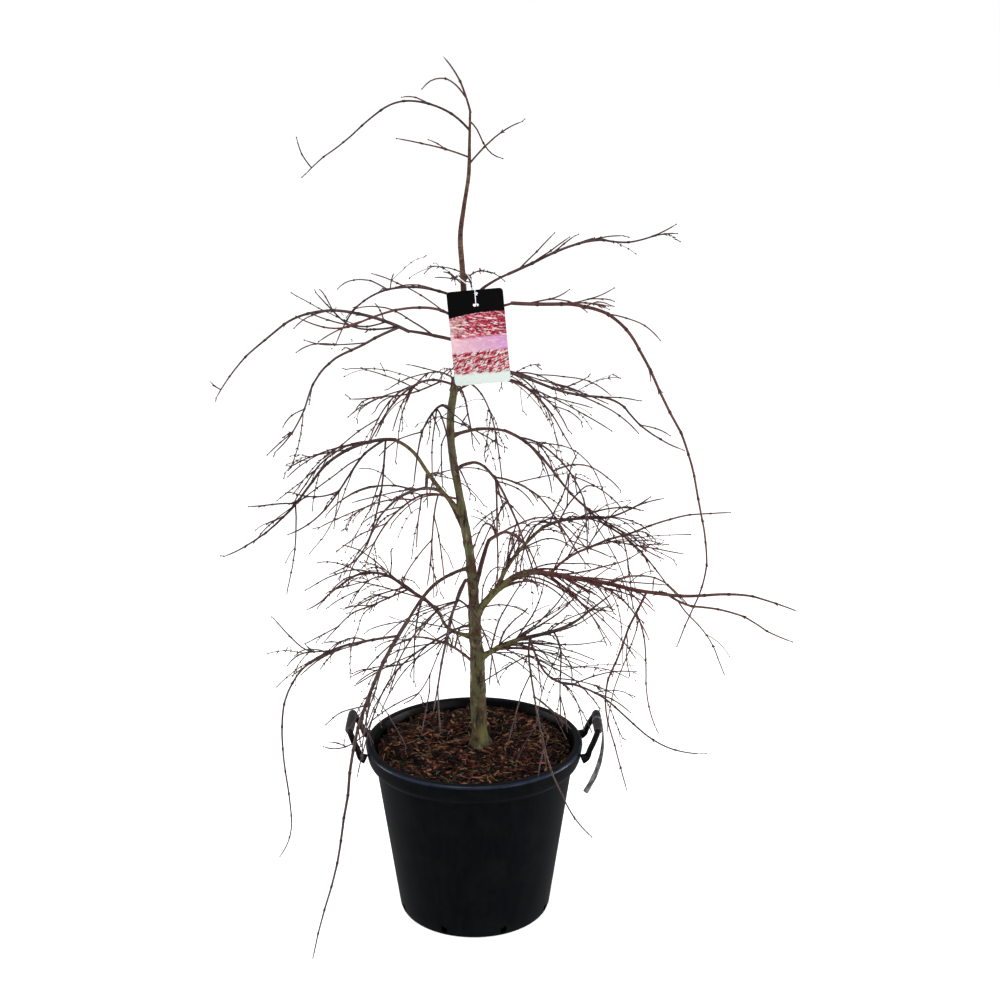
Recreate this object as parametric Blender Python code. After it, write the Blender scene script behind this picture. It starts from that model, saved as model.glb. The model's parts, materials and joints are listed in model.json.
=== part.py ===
"""Weeping maple in a black nursery pot, bare in winter.

Metres, +Z up. The origin is the middle of the pot's flat underside, and the hang tag faces -Y.
A bearing is the compass turn of a limb about +Z, in degrees: 0 is +X, 90 is +Y.
A pitch is its climb above the level, in degrees.
"""

import itertools
import math
import random
from collections import namedtuple

import bmesh
import bpy
import numpy as np

# Clearance between neighbouring solids
GAP = 0.0003

# Distances within which the points of a joined solid are welded, the first that leaves it closed
WELDS = (0.00001, 0.000002, 0.0000002)

# Pot
POT_HEIGHT = 0.350
POT_SIDES = 32
FOOT_R = 0.147
FOOT_ROUND = 0.010
WALL_R = 0.191
WALL = 0.003
COLLAR_R = 0.210
COLLAR_DEPTH = 0.044
COLLAR_TAPER = 0.008
MOUTH_R = 0.194
MOUTH_ROUND = 0.003
COLLAR_EDGE = 0.003
DRAIN_SLOTS = 8
DRAIN_SLOT = (0.012, 0.016)
DRAIN_SLOT_LOW = 0.0065
DRAIN_SLOT_DEEP = 0.027

# Bark mulch that fills the pot
MULCH_TOP = 0.334
MULCH_WAVE = 0.004
MULCH_EDGE_DOWN = 0.003
MULCH_SHOULDER_DOWN = 0.028
MULCH_SIDE_GAP = 0.0012
MULCH_RING_SHARES = (0.20, 0.45, 0.72, 1.0)
BARE_ROUND_TRUNK = (0.035, 0.065)

# Handles on the collar, at -X and +X: half the grip's length, reach out of the collar, rise over the rim
HANDLE_HALF = 0.048
HANDLE_OUT = 0.027
HANDLE_UP = 0.034
GRIP_R = 0.009
ARM_R = 0.0068
LUG_R = 0.0098
LUG_SPREAD = 0.008
LUG_DOWN = 0.017
HANDLE_SIDES = 8

# Trunk: height over the mulch, place along X and Y, radius
TRUNK_FOOT = (0.011, 0.0)
TRUNK_STATIONS = (
    (0.000, 0.011, 0.000, 0.0235),
    (0.022, 0.010, 0.000, 0.0165),
    (0.090, 0.008, 0.001, 0.0150),
    (0.180, 0.006, 0.002, 0.0135),
    (0.265, 0.001, 0.002, 0.0110),
    (0.360, -0.003, 0.000, 0.0092),
    (0.490, -0.022, -0.002, 0.0075),
    (0.610, -0.040, 0.000, 0.0072),
    (0.650, -0.042, 0.001, 0.0078),
    (0.700, -0.034, 0.003, 0.0068),
    (0.790, -0.020, 0.003, 0.0062),
    (0.890, -0.015, 0.001, 0.0054),
    (1.000, -0.020, 0.000, 0.0044),
    (1.085, -0.006, 0.000, 0.0034),
    (1.165, -0.003, 0.000, 0.0026),
    (1.205, -0.002, 0.000, 0.0022),
)
TRUNK_SIDES = 9
TRUNK_RINGS = 26
ROOT_LOBES = 3
ROOT_LOBE_DEPTH = 0.22
ROOT_FADE = 1.3

# Limbs: fine step along a limb, rings kept, joint kinks in degrees, tip radius, share of a bough's
# radius left at its tip, power of the taper
STEP = 0.015
KEEP = 3
KINK = 4.0
TIP_R = 0.0010
BOUGH_TIP_SHARE = 0.62
TAPER = 0.85
BOUGH_SIDES = 6
TWIG_SIDES = 3

# Room: reach of the elbow where a limb leaves its parent, clearance from all else, lowest height,
# and the turns aside that a limb tries in degrees
ELBOW = 0.020
CLEAR = 0.0025
LEAST_ROOM = 0.012
TURNS_ASIDE = (0, 4, -4, 8, -8, 12, -12, 17, -17, 23, -23, 30, -30)

# Heart of the crown: reach from the trunk's axis, and height, where it begins to thin and where it ends,
# and the heights over which it comes in again above the bare whip ends
HEART_REACH = (0.19, 0.37)
HEART_HEIGHT = (1.27, 1.42)
HEART_FLOOR = (0.32, 0.42)

# Side twigs: chance at a joint outside the heart and in it, length outside the heart as a share of
# that in it, and the ranges that length and angles are drawn from
TWIG_CHANCE = (0.07, 0.74)
TWIG_OUTER_LENGTH = 0.45
TWIG_LENGTH = (0.055, 0.175)
TWIG_FOOT_R = 0.0013
TWIG_TIP_R = 0.0008
TWIG_SPREAD = (24, 58)
TWIG_RISE = (-12, 24)
TWIG_DROOP = (5, 50)
TWIG_TURN = (-15, 15)
TWIG_BARE = 0.030
SEED = 21

Limb = namedtuple("Limb", "name parent at bearing turn length radius pitches")

# Boughs: where on the parent (height on the trunk, share of the length on a bough), bearing, how far
# the bearing turns, length, radius at the foot, and the pitches from the foot to the tip.
BOUGHS = (
    Limb("bough_right_main", "trunk", 0.600, 350, 0, 0.160, 0.0078, (60, 50, 35, 8)),
    Limb("bough_right_rising", "bough_right_main", 0.45, 14, 0, 0.150, 0.0046, (72, 50, 34)),
    Limb("bough_right_low", "trunk", 0.515, 340, 0, 0.105, 0.0064, (30, 35, 28)),
    Limb("bough_right_arch", "trunk", 0.955, 12, 0, 0.105, 0.0040, (22, 6, -12)),
    Limb("bough_right_upper", "trunk", 1.165, 20, -10, 0.100, 0.0036, (24, 15)),
    Limb("bough_right_top", "trunk", 1.192, 8, 0, 0.105, 0.0034, (50, 38, 24)),
    Limb("bough_left_top", "trunk", 1.130, 170, 8, 0.100, 0.0040, (18, 4)),
    Limb("bough_left_arch", "trunk", 0.805, 186, 0, 0.195, 0.0050, (52, 50, 62, 25)),
    Limb("bough_left_main", "trunk", 0.700, 198, 26, 0.165, 0.0052, (4, -25, -45, -50)),
    Limb("bough_left_hook", "trunk", 0.560, 168, 0, 0.085, 0.0048, (0, 15, 75)),
    Limb("bough_back_low", "trunk", 0.640, 78, 0, 0.150, 0.0058, (45, 35, 5)),
    Limb("bough_back_mid", "trunk", 0.760, 118, 0, 0.140, 0.0050, (50, 35, 0)),
    Limb("bough_back_upper", "trunk", 1.010, 92, 0, 0.115, 0.0038, (40, 20, -10)),
    Limb("bough_front_low", "trunk", 0.660, 262, 0, 0.120, 0.0050, (40, 25, -10)),
    Limb("bough_front_mid", "trunk", 0.890, 300, 0, 0.110, 0.0040, (40, 20, -15)),
)

# Sprays of twigs: the first limb of each is its stem, and the others fork from a limb of the spray.
SPRAYS = {
    "twigs_tip": (
        Limb("tip", "trunk", "end", 182, 0, 0.104, 0.0019, (74, 66, 50)),
        Limb("tip_side", "tip", 0.14, 196, 0, 0.096, 0.0013, (58, 38, -6, -52)),
    ),
    "twigs_top_left": (
        Limb("top_whip", "trunk", 1.506, 176, 8, 0.345, 0.0021, (46, 24, 2, -38, -46, -32, -42)),
        Limb("top_whip_end", "top_whip", 0.96, 180, 0, 0.058, 0.0012, (52, 76)),
    ),
    "twigs_top_low": (Limb("top_low", "trunk", 1.460, 188, 0, 0.130, 0.0015, (20, 12, 6)),),
    "twigs_top_right": (
        Limb("top_right", "trunk", 1.448, 6, 0, 0.120, 0.0016, (50, 44, 18)),
    ),
    "twigs_top_drop": (Limb("top_drop", "trunk", 1.522, 345, 0, 0.088, 0.0013, (-40, -72, -50, -8)),),
    "twigs_right_top": (
        Limb("crest_right", "bough_right_top", "end", 2, -6, 0.315, 0.0026, (27, 28, 16, -8, 14, 30)),
        Limb("crest_right_a", "crest_right", 0.06, 18, 0, 0.090, 0.0014, (46, 40)),
        Limb("crest_right_b", "crest_right", 0.14, 348, 0, 0.084, 0.0014, (40, 32)),
        Limb("crest_right_c", "crest_right", 0.28, 16, 0, 0.048, 0.0013, (44, 30)),
    ),
    "twigs_right_long": (
        Limb("long_right", "bough_right_upper", "end", 4, -14, 0.880, 0.0032,
             (-2, 4, -30, -60, -64, -64, -76, -76, -92, -110, -112)),
        Limb("long_right_a", "long_right", 0.03, 8, 0, 0.080, 0.0015, (14, 8, 36)),
        Limb("long_right_b", "long_right", 0.10, 350, 0, 0.100, 0.0014, (0, 16, 36)),
    ),
    "twigs_right_upper": (
        Limb("upper_right", "trunk", 1.083, 350, 10, 0.450, 0.0028,
             (12, -8, -22, -20, 0, -48, -38, -16)),
        Limb("upper_right_a", "upper_right", 0.24, 336, 0, 0.090, 0.0014, (-24, -44, -6)),
        Limb("upper_right_b", "upper_right", 0.42, 10, 0, 0.060, 0.0013, (8, 28)),
    ),
    "twigs_right_arch": (
        Limb("arch_right", "bough_right_arch", "end", 8, -8, 0.490, 0.0028,
             (-22, -46, -54, -46, -34, -44, -52, -50)),
        Limb("arch_right_a", "arch_right", 0.05, 330, 0, 0.230, 0.0017, (0, -30, -62, -78)),
        Limb("arch_right_b", "arch_right", 0.25, 40, 0, 0.200, 0.0016, (10, -25, -50)),
        Limb("arch_right_c", "arch_right", 0.50, 340, 0, 0.150, 0.0014, (-20, -35, -20)),
    ),
    "twigs_right_rising": (
        Limb("rising", "bough_right_rising", "end", 8, 0, 0.215, 0.0028, (22, 4, 2, 22, 40)),
        Limb("rising_a", "rising", 0.06, 30, 0, 0.100, 0.0015, (72, 50, 80)),
        Limb("rising_b", "rising", 0.30, 350, 0, 0.130, 0.0015, (30, 10, -15)),
        Limb("rising_c", "rising", 0.15, 60, 0, 0.160, 0.0016, (35, 15, -20)),
    ),
    "twigs_right_main": (
        Limb("main_right", "bough_right_main", "end", 352, 4, 0.495, 0.0044, (-8, -4, -12, -4, 8, -12, -18)),
        Limb("main_right_low", "main_right", 0.50, 344, 0, 0.245, 0.0020, (-34, -2, -14, -28, -16)),
        Limb("main_right_high", "main_right", 0.05, 20, 0, 0.390, 0.0022, (50, 18, 12, 14, 0, -4)),
        Limb("main_right_mid", "main_right_high", 0.32, 0, 0, 0.150, 0.0014, (-4, -14, -8)),
        Limb("main_right_drop", "main_right", 0.42, 338, 0, 0.448, 0.0020,
             (-112, -116, -112, -114, -96, -72, -66, -62)),
        Limb("main_right_drop_b", "main_right_drop", 0.12, 352, 0, 0.240, 0.0015, (-65, -84, -88, -68)),
        Limb("main_right_front", "main_right", 0.20, 312, 0, 0.175, 0.0018, (5, -15, -40, -60)),
        Limb("main_right_back", "main_right", 0.28, 40, 0, 0.250, 0.0018, (6, -14, -38, -50)),
    ),
    "twigs_right_low": (
        Limb("low_right", "bough_right_low", "end", 350, 0, 0.200, 0.0036, (18, 20, 44, 42)),
        Limb("low_right_whip", "low_right", 0.08, 325, 18, 0.410, 0.0020,
             (-70, -60, 6, -12, -38, -38, -12, 4)),
        Limb("low_right_drop", "low_right", 0.32, 345, 0, 0.180, 0.0016, (-55, -95, -88, -88)),
        Limb("low_right_front", "low_right", 0.12, 254, 84, 0.455, 0.0019, (12, -16, -52, -66, -58, -34)),
    ),
    "twigs_right_inner": (
        Limb("inner_right", "trunk", 1.035, 10, -8, 0.300, 0.0022, (46, 10, -24, -46, -58, -64)),
        Limb("inner_right_a", "inner_right", 0.20, 332, 0, 0.200, 0.0015, (10, -25, -60)),
        Limb("inner_right_b", "inner_right", 0.30, 40, 0, 0.180, 0.0015, (15, -20, -50)),
        Limb("inner_right_c", "inner_right", 0.12, 296, 0, 0.220, 0.0015, (0, -35, -70, -76)),
    ),
    "twigs_left_crest": (
        Limb("crest_left", "trunk", 1.205, 170, 12, 0.285, 0.0024, (32, 14, 0, -12, -32, -56, -64)),
        Limb("crest_left_a", "crest_left", 0.35, 140, 0, 0.100, 0.0013, (-4, -28)),
    ),
    "twigs_left_high": (
        Limb("high_left", "trunk", 1.165, 195, -10, 0.310, 0.0024, (40, 22, -4, -14, -20, 10, 26)),
        Limb("high_left_a", "high_left", 0.62, 205, 0, 0.090, 0.0012, (-10, -35)),
    ),
    "twigs_left_upper": (
        Limb("upper_left", "bough_left_top", "end", 178, 6, 0.424, 0.0030,
             (28, 16, 4, -14, -40, -42, -50, -58)),
        Limb("upper_left_hook", "upper_left", 0.96, 182, 0, 0.028, 0.0011, (30, 50)),
        Limb("upper_left_b", "upper_left", 0.04, 194, 0, 0.335, 0.0024,
             (-20, -26, -16, -56, -70, -58, -42)),
        Limb("upper_left_c", "upper_left_b", 0.20, 186, 0, 0.110, 0.0013, (-8, -4, 22)),
        Limb("upper_left_d", "upper_left", 0.05, 168, 0, 0.175, 0.0018, (-14, 4, 44, 50)),
        Limb("upper_left_e", "upper_left", 0.10, 154, 0, 0.165, 0.0015, (-18, 2, 20)),
    ),
    "twigs_left_mid": (
        Limb("mid_left", "trunk", 1.050, 200, 0, 0.215, 0.0022, (25, 8, -28, -48, -58, -58)),
        Limb("mid_left_a", "mid_left", 0.14, 170, 0, 0.175, 0.0016, (-25, -20, -6, -14, -4)),
        Limb("mid_left_b", "mid_left", 0.35, 235, 0, 0.160, 0.0015, (10, -30, -60)),
    ),
    "twigs_left_arch": (
        Limb("arch_left", "bough_left_arch", "end", 184, 4, 0.398, 0.0030,
             (10, -16, -34, -52, -54, -38, -34, -16)),
        Limb("arch_left_low", "arch_left", 0.05, 200, 0, 0.250, 0.0020, (-28, -44, -60, -54, -36, -16)),
        Limb("arch_left_whip", "arch_left", 0.04, 204, 0, 0.290, 0.0017, (-84, -84, -78, -76, -64, -34, -18)),
        Limb("arch_left_back", "arch_left", 0.10, 150, 0, 0.240, 0.0018, (-4, -30, -50, -60)),
        Limb("arch_left_e", "arch_left", 0.58, 188, 0, 0.085, 0.0014, (6, -6, -2)),
        Limb("arch_left_f", "arch_left_low", 0.50, 188, 0, 0.090, 0.0014, (-24, 4, 24)),
    ),
    "twigs_left_inner": (
        Limb("inner_left", "trunk", 0.835, 215, -15, 0.255, 0.0020, (15, 20, -20, -44, -56, -74)),
        Limb("inner_left_a", "inner_left", 0.20, 250, 0, 0.170, 0.0015, (-35, -80, -78, -60)),
        Limb("inner_left_b", "inner_left", 0.40, 195, 0, 0.130, 0.0014, (10, -15, -40)),
    ),
    "twigs_left_low": (
        Limb("low_left", "bough_left_main", "end", 208, 40, 0.655, 0.0034,
             (-50, -58, -72, -80, -74, -60, -54)),
        Limb("low_left_outer", "low_left", 0.05, 176, 0, 0.605, 0.0022,
             (-8, -13, -35, -74, -90, -98, -93, -58)),
        Limb("low_left_up", "low_left_outer", 0.20, 180, 0, 0.140, 0.0013, (-12, -2, 38, 54, 56)),
        Limb("low_left_b", "low_left_outer", 0.10, 128, 0, 0.150, 0.0015, (0, -25, -50)),
    ),
    "twigs_left_fan": (
        Limb("fan_left", "bough_left_hook", "end", 182, -6, 0.310, 0.0032,
             (55, 36, 40, 4, -34, -46, -24)),
        Limb("fan_left_a", "fan_left", 0.26, 168, 0, 0.210, 0.0018, (-25, -28, -28, -46, -52)),
        Limb("fan_left_b", "fan_left", 0.28, 200, 0, 0.105, 0.0014, (-4, -26)),
        Limb("fan_left_c", "fan_left", 0.20, 130, 0, 0.250, 0.0017, (20, -5, -35, -55)),
    ),
    "twigs_left_skirt": (
        Limb("skirt_left", "trunk", 0.588, 208, -8, 0.400, 0.0026,
             (-8, -15, -20, -30, -50, -72, -60, -20, 28)),
        Limb("skirt_left_a", "skirt_left", 0.14, 236, 0, 0.180, 0.0016, (-44, -46, 8)),
        Limb("skirt_left_b", "skirt_left", 0.10, 196, 0, 0.215, 0.0016, (-40, -32, -4, -36)),
    ),
    "twigs_back_low": (
        Limb("back_low", "bough_back_low", "end", 70, -10, 0.330, 0.0032, (0, -12, -30, -52, -62)),
        Limb("back_low_a", "back_low", 0.12, 100, 14, 0.330, 0.0019, (12, -15, -50, -62)),
        Limb("back_low_b", "back_low", 0.20, 40, 0, 0.280, 0.0018, (20, -5, -40, -55)),
        Limb("back_low_c", "back_low", 0.45, 95, 0, 0.180, 0.0015, (0, -40, -70)),
    ),
    "twigs_back_mid": (
        Limb("back_mid", "bough_back_mid", "end", 122, 12, 0.330, 0.0030, (-5, -25, -48, -60)),
        Limb("back_mid_a", "back_mid", 0.12, 92, 0, 0.280, 0.0018, (15, -10, -40, -62)),
        Limb("back_mid_b", "back_mid", 0.25, 150, 0, 0.240, 0.0017, (10, -20, -50)),
    ),
    "twigs_back_upper": (
        Limb("back_upper", "bough_back_upper", "end", 86, -8, 0.330, 0.0024, (-12, -25, -50, -62)),
        Limb("back_upper_a", "back_upper", 0.12, 60, 0, 0.240, 0.0016, (10, -10, -45)),
        Limb("back_upper_b", "back_upper", 0.15, 118, 0, 0.250, 0.0016, (5, -20, -50)),
    ),
    "twigs_back_top": (
        Limb("back_top", "trunk", 1.210, 87, 0, 0.250, 0.0021, (30, 10, -18, -40)),
        Limb("back_top_a", "back_top", 0.30, 70, 0, 0.150, 0.0014, (10, -15)),
    ),
    "twigs_back_skirt": (
        Limb("back_skirt", "trunk", 0.500, 122, 0, 0.330, 0.0026, (15, -5, -20, -30)),
        Limb("back_skirt_a", "back_skirt", 0.25, 85, 0, 0.220, 0.0017, (15, -10, -20)),
    ),
    "twigs_front_low": (
        Limb("front_low", "bough_front_low", "end", 258, -8, 0.260, 0.0028, (-12, -35, -55, -62)),
        Limb("front_low_a", "front_low", 0.15, 290, 0, 0.230, 0.0017, (10, -20, -55)),
        Limb("front_low_b", "front_low", 0.18, 232, 0, 0.220, 0.0017, (5, -30, -60)),
    ),
    "twigs_front_mid": (
        Limb("front_mid", "bough_front_mid", "end", 304, 4, 0.260, 0.0024, (-15, -45, -60, -66)),
        Limb("front_mid_a", "front_mid", 0.12, 330, 0, 0.240, 0.0016, (5, -30, -55, -50)),
        Limb("front_mid_b", "front_mid", 0.15, 272, 0, 0.230, 0.0016, (0, -40, -70)),
    ),
    "twigs_front_high": (
        Limb("front_high", "trunk", 1.005, 248, 0, 0.240, 0.0022, (35, 5, -35, -62, -70)),
        Limb("front_high_a", "front_high", 0.30, 285, 0, 0.160, 0.0015, (0, -40, -70)),
    ),
}

# Hang tag in front of the trunk, and the elastic that holds it
TAG_SIZE = (0.101, 0.171)
TAG_THICK = 0.0007
TAG_MIDDLE = (0.012, -0.030, 1.146)
TAG_TILT = 5.0
TAG_CORNER = 0.007
TAG_SLOT = (0.010, 0.005)
TAG_SLOT_CORNER = 0.0022
TAG_SLOT_DOWN = 0.027
STEM_AT_TAG_X = -0.0165
ELASTIC_R = 0.0009
ELASTIC_TOP = 1.252

# Paper strip round the grip of the right handle
STRIP_WIDTH = 0.010
STRIP_THICK = 0.0005
STRIP_TAIL = 0.150
STRIP_CURL = 0.034
STRIP_STEPS = 12


def clear_scene():
    for old in list(bpy.data.objects):
        bpy.data.objects.remove(old, do_unlink=True)


def material(name, colour, roughness, metallic=0.0):
    made = bpy.data.materials.get(name)
    if made:
        return made
    made = bpy.data.materials.new(name)
    made.use_nodes = True
    shader = made.node_tree.nodes["Principled BSDF"]
    shader.inputs["Base Color"].default_value = (*colour, 1.0)
    shader.inputs["Roughness"].default_value = roughness
    shader.inputs["Metallic"].default_value = metallic
    return made


def black_plastic():
    return material("pot black plastic", (0.012, 0.014, 0.018), 0.42)


def bark_brown():
    return material("bark", (0.17, 0.13, 0.085), 0.85)


def twig_maroon():
    return material("twig", (0.075, 0.028, 0.024), 0.6)


def mulch_brown():
    return material("mulch", (0.085, 0.042, 0.022), 0.95)


def card_rose():
    return material("tag card", (0.42, 0.06, 0.12), 0.4)


def paper_white():
    return material("paper", (0.62, 0.62, 0.60), 0.7)


def elastic_white():
    return material("elastic", (0.75, 0.74, 0.71), 0.6)


def add_object(name, points, faces, surface):
    """A new object from its points and faces, cut into triangles, with its faces turned outwards."""
    mesh = bpy.data.meshes.new(name)
    mesh.from_pydata([tuple(map(float, point)) for point in points], [], faces)
    work = bmesh.new()
    work.from_mesh(mesh)
    bmesh.ops.triangulate(work, faces=work.faces[:])
    bmesh.ops.recalc_face_normals(work, faces=work.faces[:])
    work.to_mesh(mesh)
    work.free()
    mesh.materials.append(surface)
    made = bpy.data.objects.new(name, mesh)
    bpy.context.scene.collection.objects.link(made)
    return made


def smooth(made, angle=35):
    made.data.shade_smooth()
    made.data.set_sharp_from_angle(angle=math.radians(angle))


def turned(name, profile, surface, sides=POT_SIDES):
    """A closed profile of (radius, height) points turned round +Z; a radius of 0 is one point on the axis."""
    points = []
    rings = []
    for radius, height in profile:
        count = sides if radius > 0 else 1
        rings.append(list(range(len(points), len(points) + count)))
        for k in range(count):
            angle = math.tau * k / sides
            points.append((radius * math.cos(angle), radius * math.sin(angle), height))
    faces = []
    for low, high in zip(rings, rings[1:]):
        for k in range(sides):
            after = k + 1
            below = (low[k % len(low)], low[after % len(low)])
            above = (high[after % len(high)], high[k % len(high)])
            faces.append(tuple(dict.fromkeys(below + above)))
    return add_object(name, points, faces, surface)


def directions(line):
    """Unit direction of a line at each of its points."""
    steps = np.diff(line, axis=0)
    steps /= np.linalg.norm(steps, axis=1)[:, None]
    inner = steps[:-1] + steps[1:]
    whole = np.vstack([steps[:1], inner, steps[-1:]])
    return whole / np.linalg.norm(whole, axis=1)[:, None]


def tube(name, line, radii, sides, surface, ahead=None, roll=0.0, ring=None, closed=False):
    """A ring of points square to the line at each of its points, skinned, and capped at its ends.

    The rings turn as little as they can from one to the next. `ahead` may give the direction that
    each ring faces, and `ring` may scale the radius by angle and place along the line. A closed
    tube runs on from its last ring to its first, with no caps.
    """
    line = np.asarray(line, float)
    ahead = directions(line) if ahead is None else ahead
    if closed:
        ahead[:] = np.roll(line, -1, axis=0) - np.roll(line, 1, axis=0)
        ahead /= np.linalg.norm(ahead, axis=1)[:, None]
    across = np.cross(ahead[0], (0.31, 0.95, 0.05) if abs(ahead[0][2]) > 0.9 else (0, 0, 1))
    points = []
    for k, (place, radius) in enumerate(zip(line, radii)):
        across = across - ahead[k] * (across @ ahead[k])
        across /= np.linalg.norm(across)
        beside = np.cross(ahead[k], across)
        for j in range(sides):
            angle = roll + math.tau * j / sides
            scale = ring(angle, k) if ring else 1.0
            points.append(place + radius * scale * (across * math.cos(angle) + beside * math.sin(angle)))
    count = len(line)
    faces = []
    for k in range(count if closed else count - 1):
        here, there = k * sides, (k + 1) % count * sides
        for j in range(sides):
            after = (j + 1) % sides
            faces.append((here + j, here + after, there + after, there + j))
    if not closed:
        faces.append(tuple(range(sides))[::-1])
        faces.append(tuple(range((count - 1) * sides, count * sides)))
    return add_object(name, points, faces, surface)


def is_closed(mesh):
    work = bmesh.new()
    work.from_mesh(mesh)
    closed = bool(work.faces) and all(edge.is_manifold for edge in work.edges)
    work.free()
    return closed


def drop_scraps(mesh, weld):
    """Welds the mesh's points that lie within `weld`, and keeps the largest of its loose bodies."""
    work = bmesh.new()
    work.from_mesh(mesh)
    bmesh.ops.triangulate(work, faces=work.faces[:])
    bmesh.ops.remove_doubles(work, verts=work.verts[:], dist=weld)
    bmesh.ops.dissolve_degenerate(work, edges=work.edges[:], dist=weld)
    left = set(work.verts)
    bodies = []
    while left:
        body = {left.pop()}
        edge_of = list(body)
        while edge_of:
            vert = edge_of.pop()
            for edge in vert.link_edges:
                other = edge.other_vert(vert)
                if other not in body:
                    body.add(other)
                    edge_of.append(other)
        left -= body
        bodies.append(body)
    bodies.sort(key=len)
    for body in bodies[:-1]:
        bmesh.ops.delete(work, geom=list(body), context="VERTS")
    bmesh.ops.triangulate(work, faces=work.faces[:])
    work.to_mesh(mesh)
    work.free()


def boolean(made, others, operation):
    """Joins the other objects to this one, or cuts them from it, applies that and removes them."""
    group = bpy.data.collections.new("tools of " + made.name)
    bpy.context.scene.collection.children.link(group)
    for other in others:
        bpy.context.scene.collection.objects.unlink(other)
        group.objects.link(other)
    for weld, solver in itertools.product(WELDS, ("EXACT", "MANIFOLD")):
        step = made.modifiers.new("step", "BOOLEAN")
        step.operation = operation
        step.operand_type = "COLLECTION"
        step.collection = group
        step.solver = solver
        graph = bpy.context.evaluated_depsgraph_get()
        result = bpy.data.meshes.new_from_object(made.evaluated_get(graph))
        made.modifiers.clear()
        drop_scraps(result, weld)
        if is_closed(result):
            made.data = result
            break
    for other in others:
        bpy.data.objects.remove(other, do_unlink=True)
    bpy.data.collections.remove(group)


def wall_radius(height):
    """Outside radius of the pot's wall at a height."""
    return FOOT_R + (WALL_R - FOOT_R) * height / (POT_HEIGHT - COLLAR_DEPTH)


def collar_profile(grow=0.0):
    """Outside of the collar from its lower edge to the pot's mouth, as (radius, height)."""
    low = POT_HEIGHT - COLLAR_DEPTH
    return [
        (COLLAR_R - COLLAR_TAPER - COLLAR_EDGE + grow, low - grow),
        (COLLAR_R - COLLAR_TAPER + grow, low + COLLAR_EDGE - grow),
        (COLLAR_R + grow, POT_HEIGHT - 0.014),
        (COLLAR_R + grow, POT_HEIGHT - 0.006),
        (COLLAR_R - 0.005 + grow, POT_HEIGHT + grow),
    ]


def make_pot():
    low = POT_HEIGHT - COLLAR_DEPTH
    inside_foot = wall_radius(FOOT_ROUND) - WALL
    profile = [
        (0.0, 0.0),
        (FOOT_R - FOOT_ROUND, 0.0),
        (FOOT_R - 0.003, 0.004),
        (wall_radius(FOOT_ROUND), FOOT_ROUND),
        (wall_radius(low), low),
        *collar_profile(),
        (MOUTH_R + MOUTH_ROUND, POT_HEIGHT),
        (MOUTH_R - 0.001, POT_HEIGHT - MOUTH_ROUND),
        (MOUTH_R - WALL - 0.0015, POT_HEIGHT - 0.012),
        (wall_radius(low) - WALL, low),
        (inside_foot, FOOT_ROUND + 0.002),
        (FOOT_R - FOOT_ROUND - 0.002, WALL + 0.001),
        (0.0, WALL + 0.001),
    ]
    pot = turned("pot", profile, black_plastic())
    slots = []
    for k in range(DRAIN_SLOTS):
        angle = math.tau * (k + 0.5) / DRAIN_SLOTS
        width, tall = DRAIN_SLOT
        inner = FOOT_R - FOOT_ROUND - WALL
        corners = []
        for out in (inner, inner + DRAIN_SLOT_DEEP):
            for side in (-width / 2, width / 2):
                for height in (DRAIN_SLOT_LOW, DRAIN_SLOT_LOW + tall):
                    corners.append(
                        (
                            out * math.cos(angle) - side * math.sin(angle),
                            out * math.sin(angle) + side * math.cos(angle),
                            height,
                        )
                    )
        faces = [(0, 1, 3, 2), (4, 6, 7, 5), (0, 4, 5, 1), (2, 3, 7, 6), (0, 2, 6, 4), (1, 5, 7, 3)]
        slots.append(add_object("slot", corners, faces, black_plastic()))
    boolean(pot, slots, "DIFFERENCE")
    smooth(pot)


def mulch_height(x, y):
    """Top of the mulch: low waves that fade out round the trunk and at the wall."""
    from_trunk = math.hypot(x - TRUNK_FOOT[0], y - TRUNK_FOOT[1])
    inner, outer = BARE_ROUND_TRUNK
    fade = min(1.0, max(0.0, (from_trunk - inner) / (outer - inner)))
    waves = math.sin(41 * x + 0.6) * math.cos(37 * y - 0.4) + 0.6 * math.sin(67 * y + 23 * x)
    return MULCH_TOP + MULCH_WAVE * fade * waves / 1.6


def make_mulch():
    low = WALL + 0.001 + GAP
    low_r = FOOT_R - FOOT_ROUND - 0.004
    shoulder = FOOT_ROUND + 0.012
    rim_low = MULCH_TOP - MULCH_SHOULDER_DOWN
    rim_r = wall_radius(rim_low) - WALL - MULCH_SIDE_GAP
    points = [(TRUNK_FOOT[0], TRUNK_FOOT[1], MULCH_TOP)]
    shares = MULCH_RING_SHARES
    for share in shares:
        for k in range(POT_SIDES):
            angle = math.tau * k / POT_SIDES
            x = TRUNK_FOOT[0] * (1 - share) + share * rim_r * math.cos(angle)
            y = TRUNK_FOOT[1] * (1 - share) + share * rim_r * math.sin(angle)
            height = MULCH_TOP - MULCH_EDGE_DOWN if share == 1.0 else mulch_height(x, y)
            points.append((x, y, height))
    for radius, height in (
        (rim_r, rim_low),
        (wall_radius(shoulder) - WALL - MULCH_SIDE_GAP, shoulder),
        (low_r, low),
    ):
        for k in range(POT_SIDES):
            angle = math.tau * k / POT_SIDES
            points.append((radius * math.cos(angle), radius * math.sin(angle), height))
    points.append((0, 0, low))
    faces = []
    for k in range(POT_SIDES):
        after = (k + 1) % POT_SIDES
        faces.append((0, 1 + k, 1 + after))
        for ring in range(len(shares) + 2):
            here = 1 + ring * POT_SIDES
            faces.append((here + k, here + POT_SIDES + k, here + POT_SIDES + after, here + after))
        last = 1 + (len(shares) + 2) * POT_SIDES
        faces.append((last + after, last + k, len(points) - 1))
    smooth(add_object("mulch", points, faces, mulch_brown()))


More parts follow.
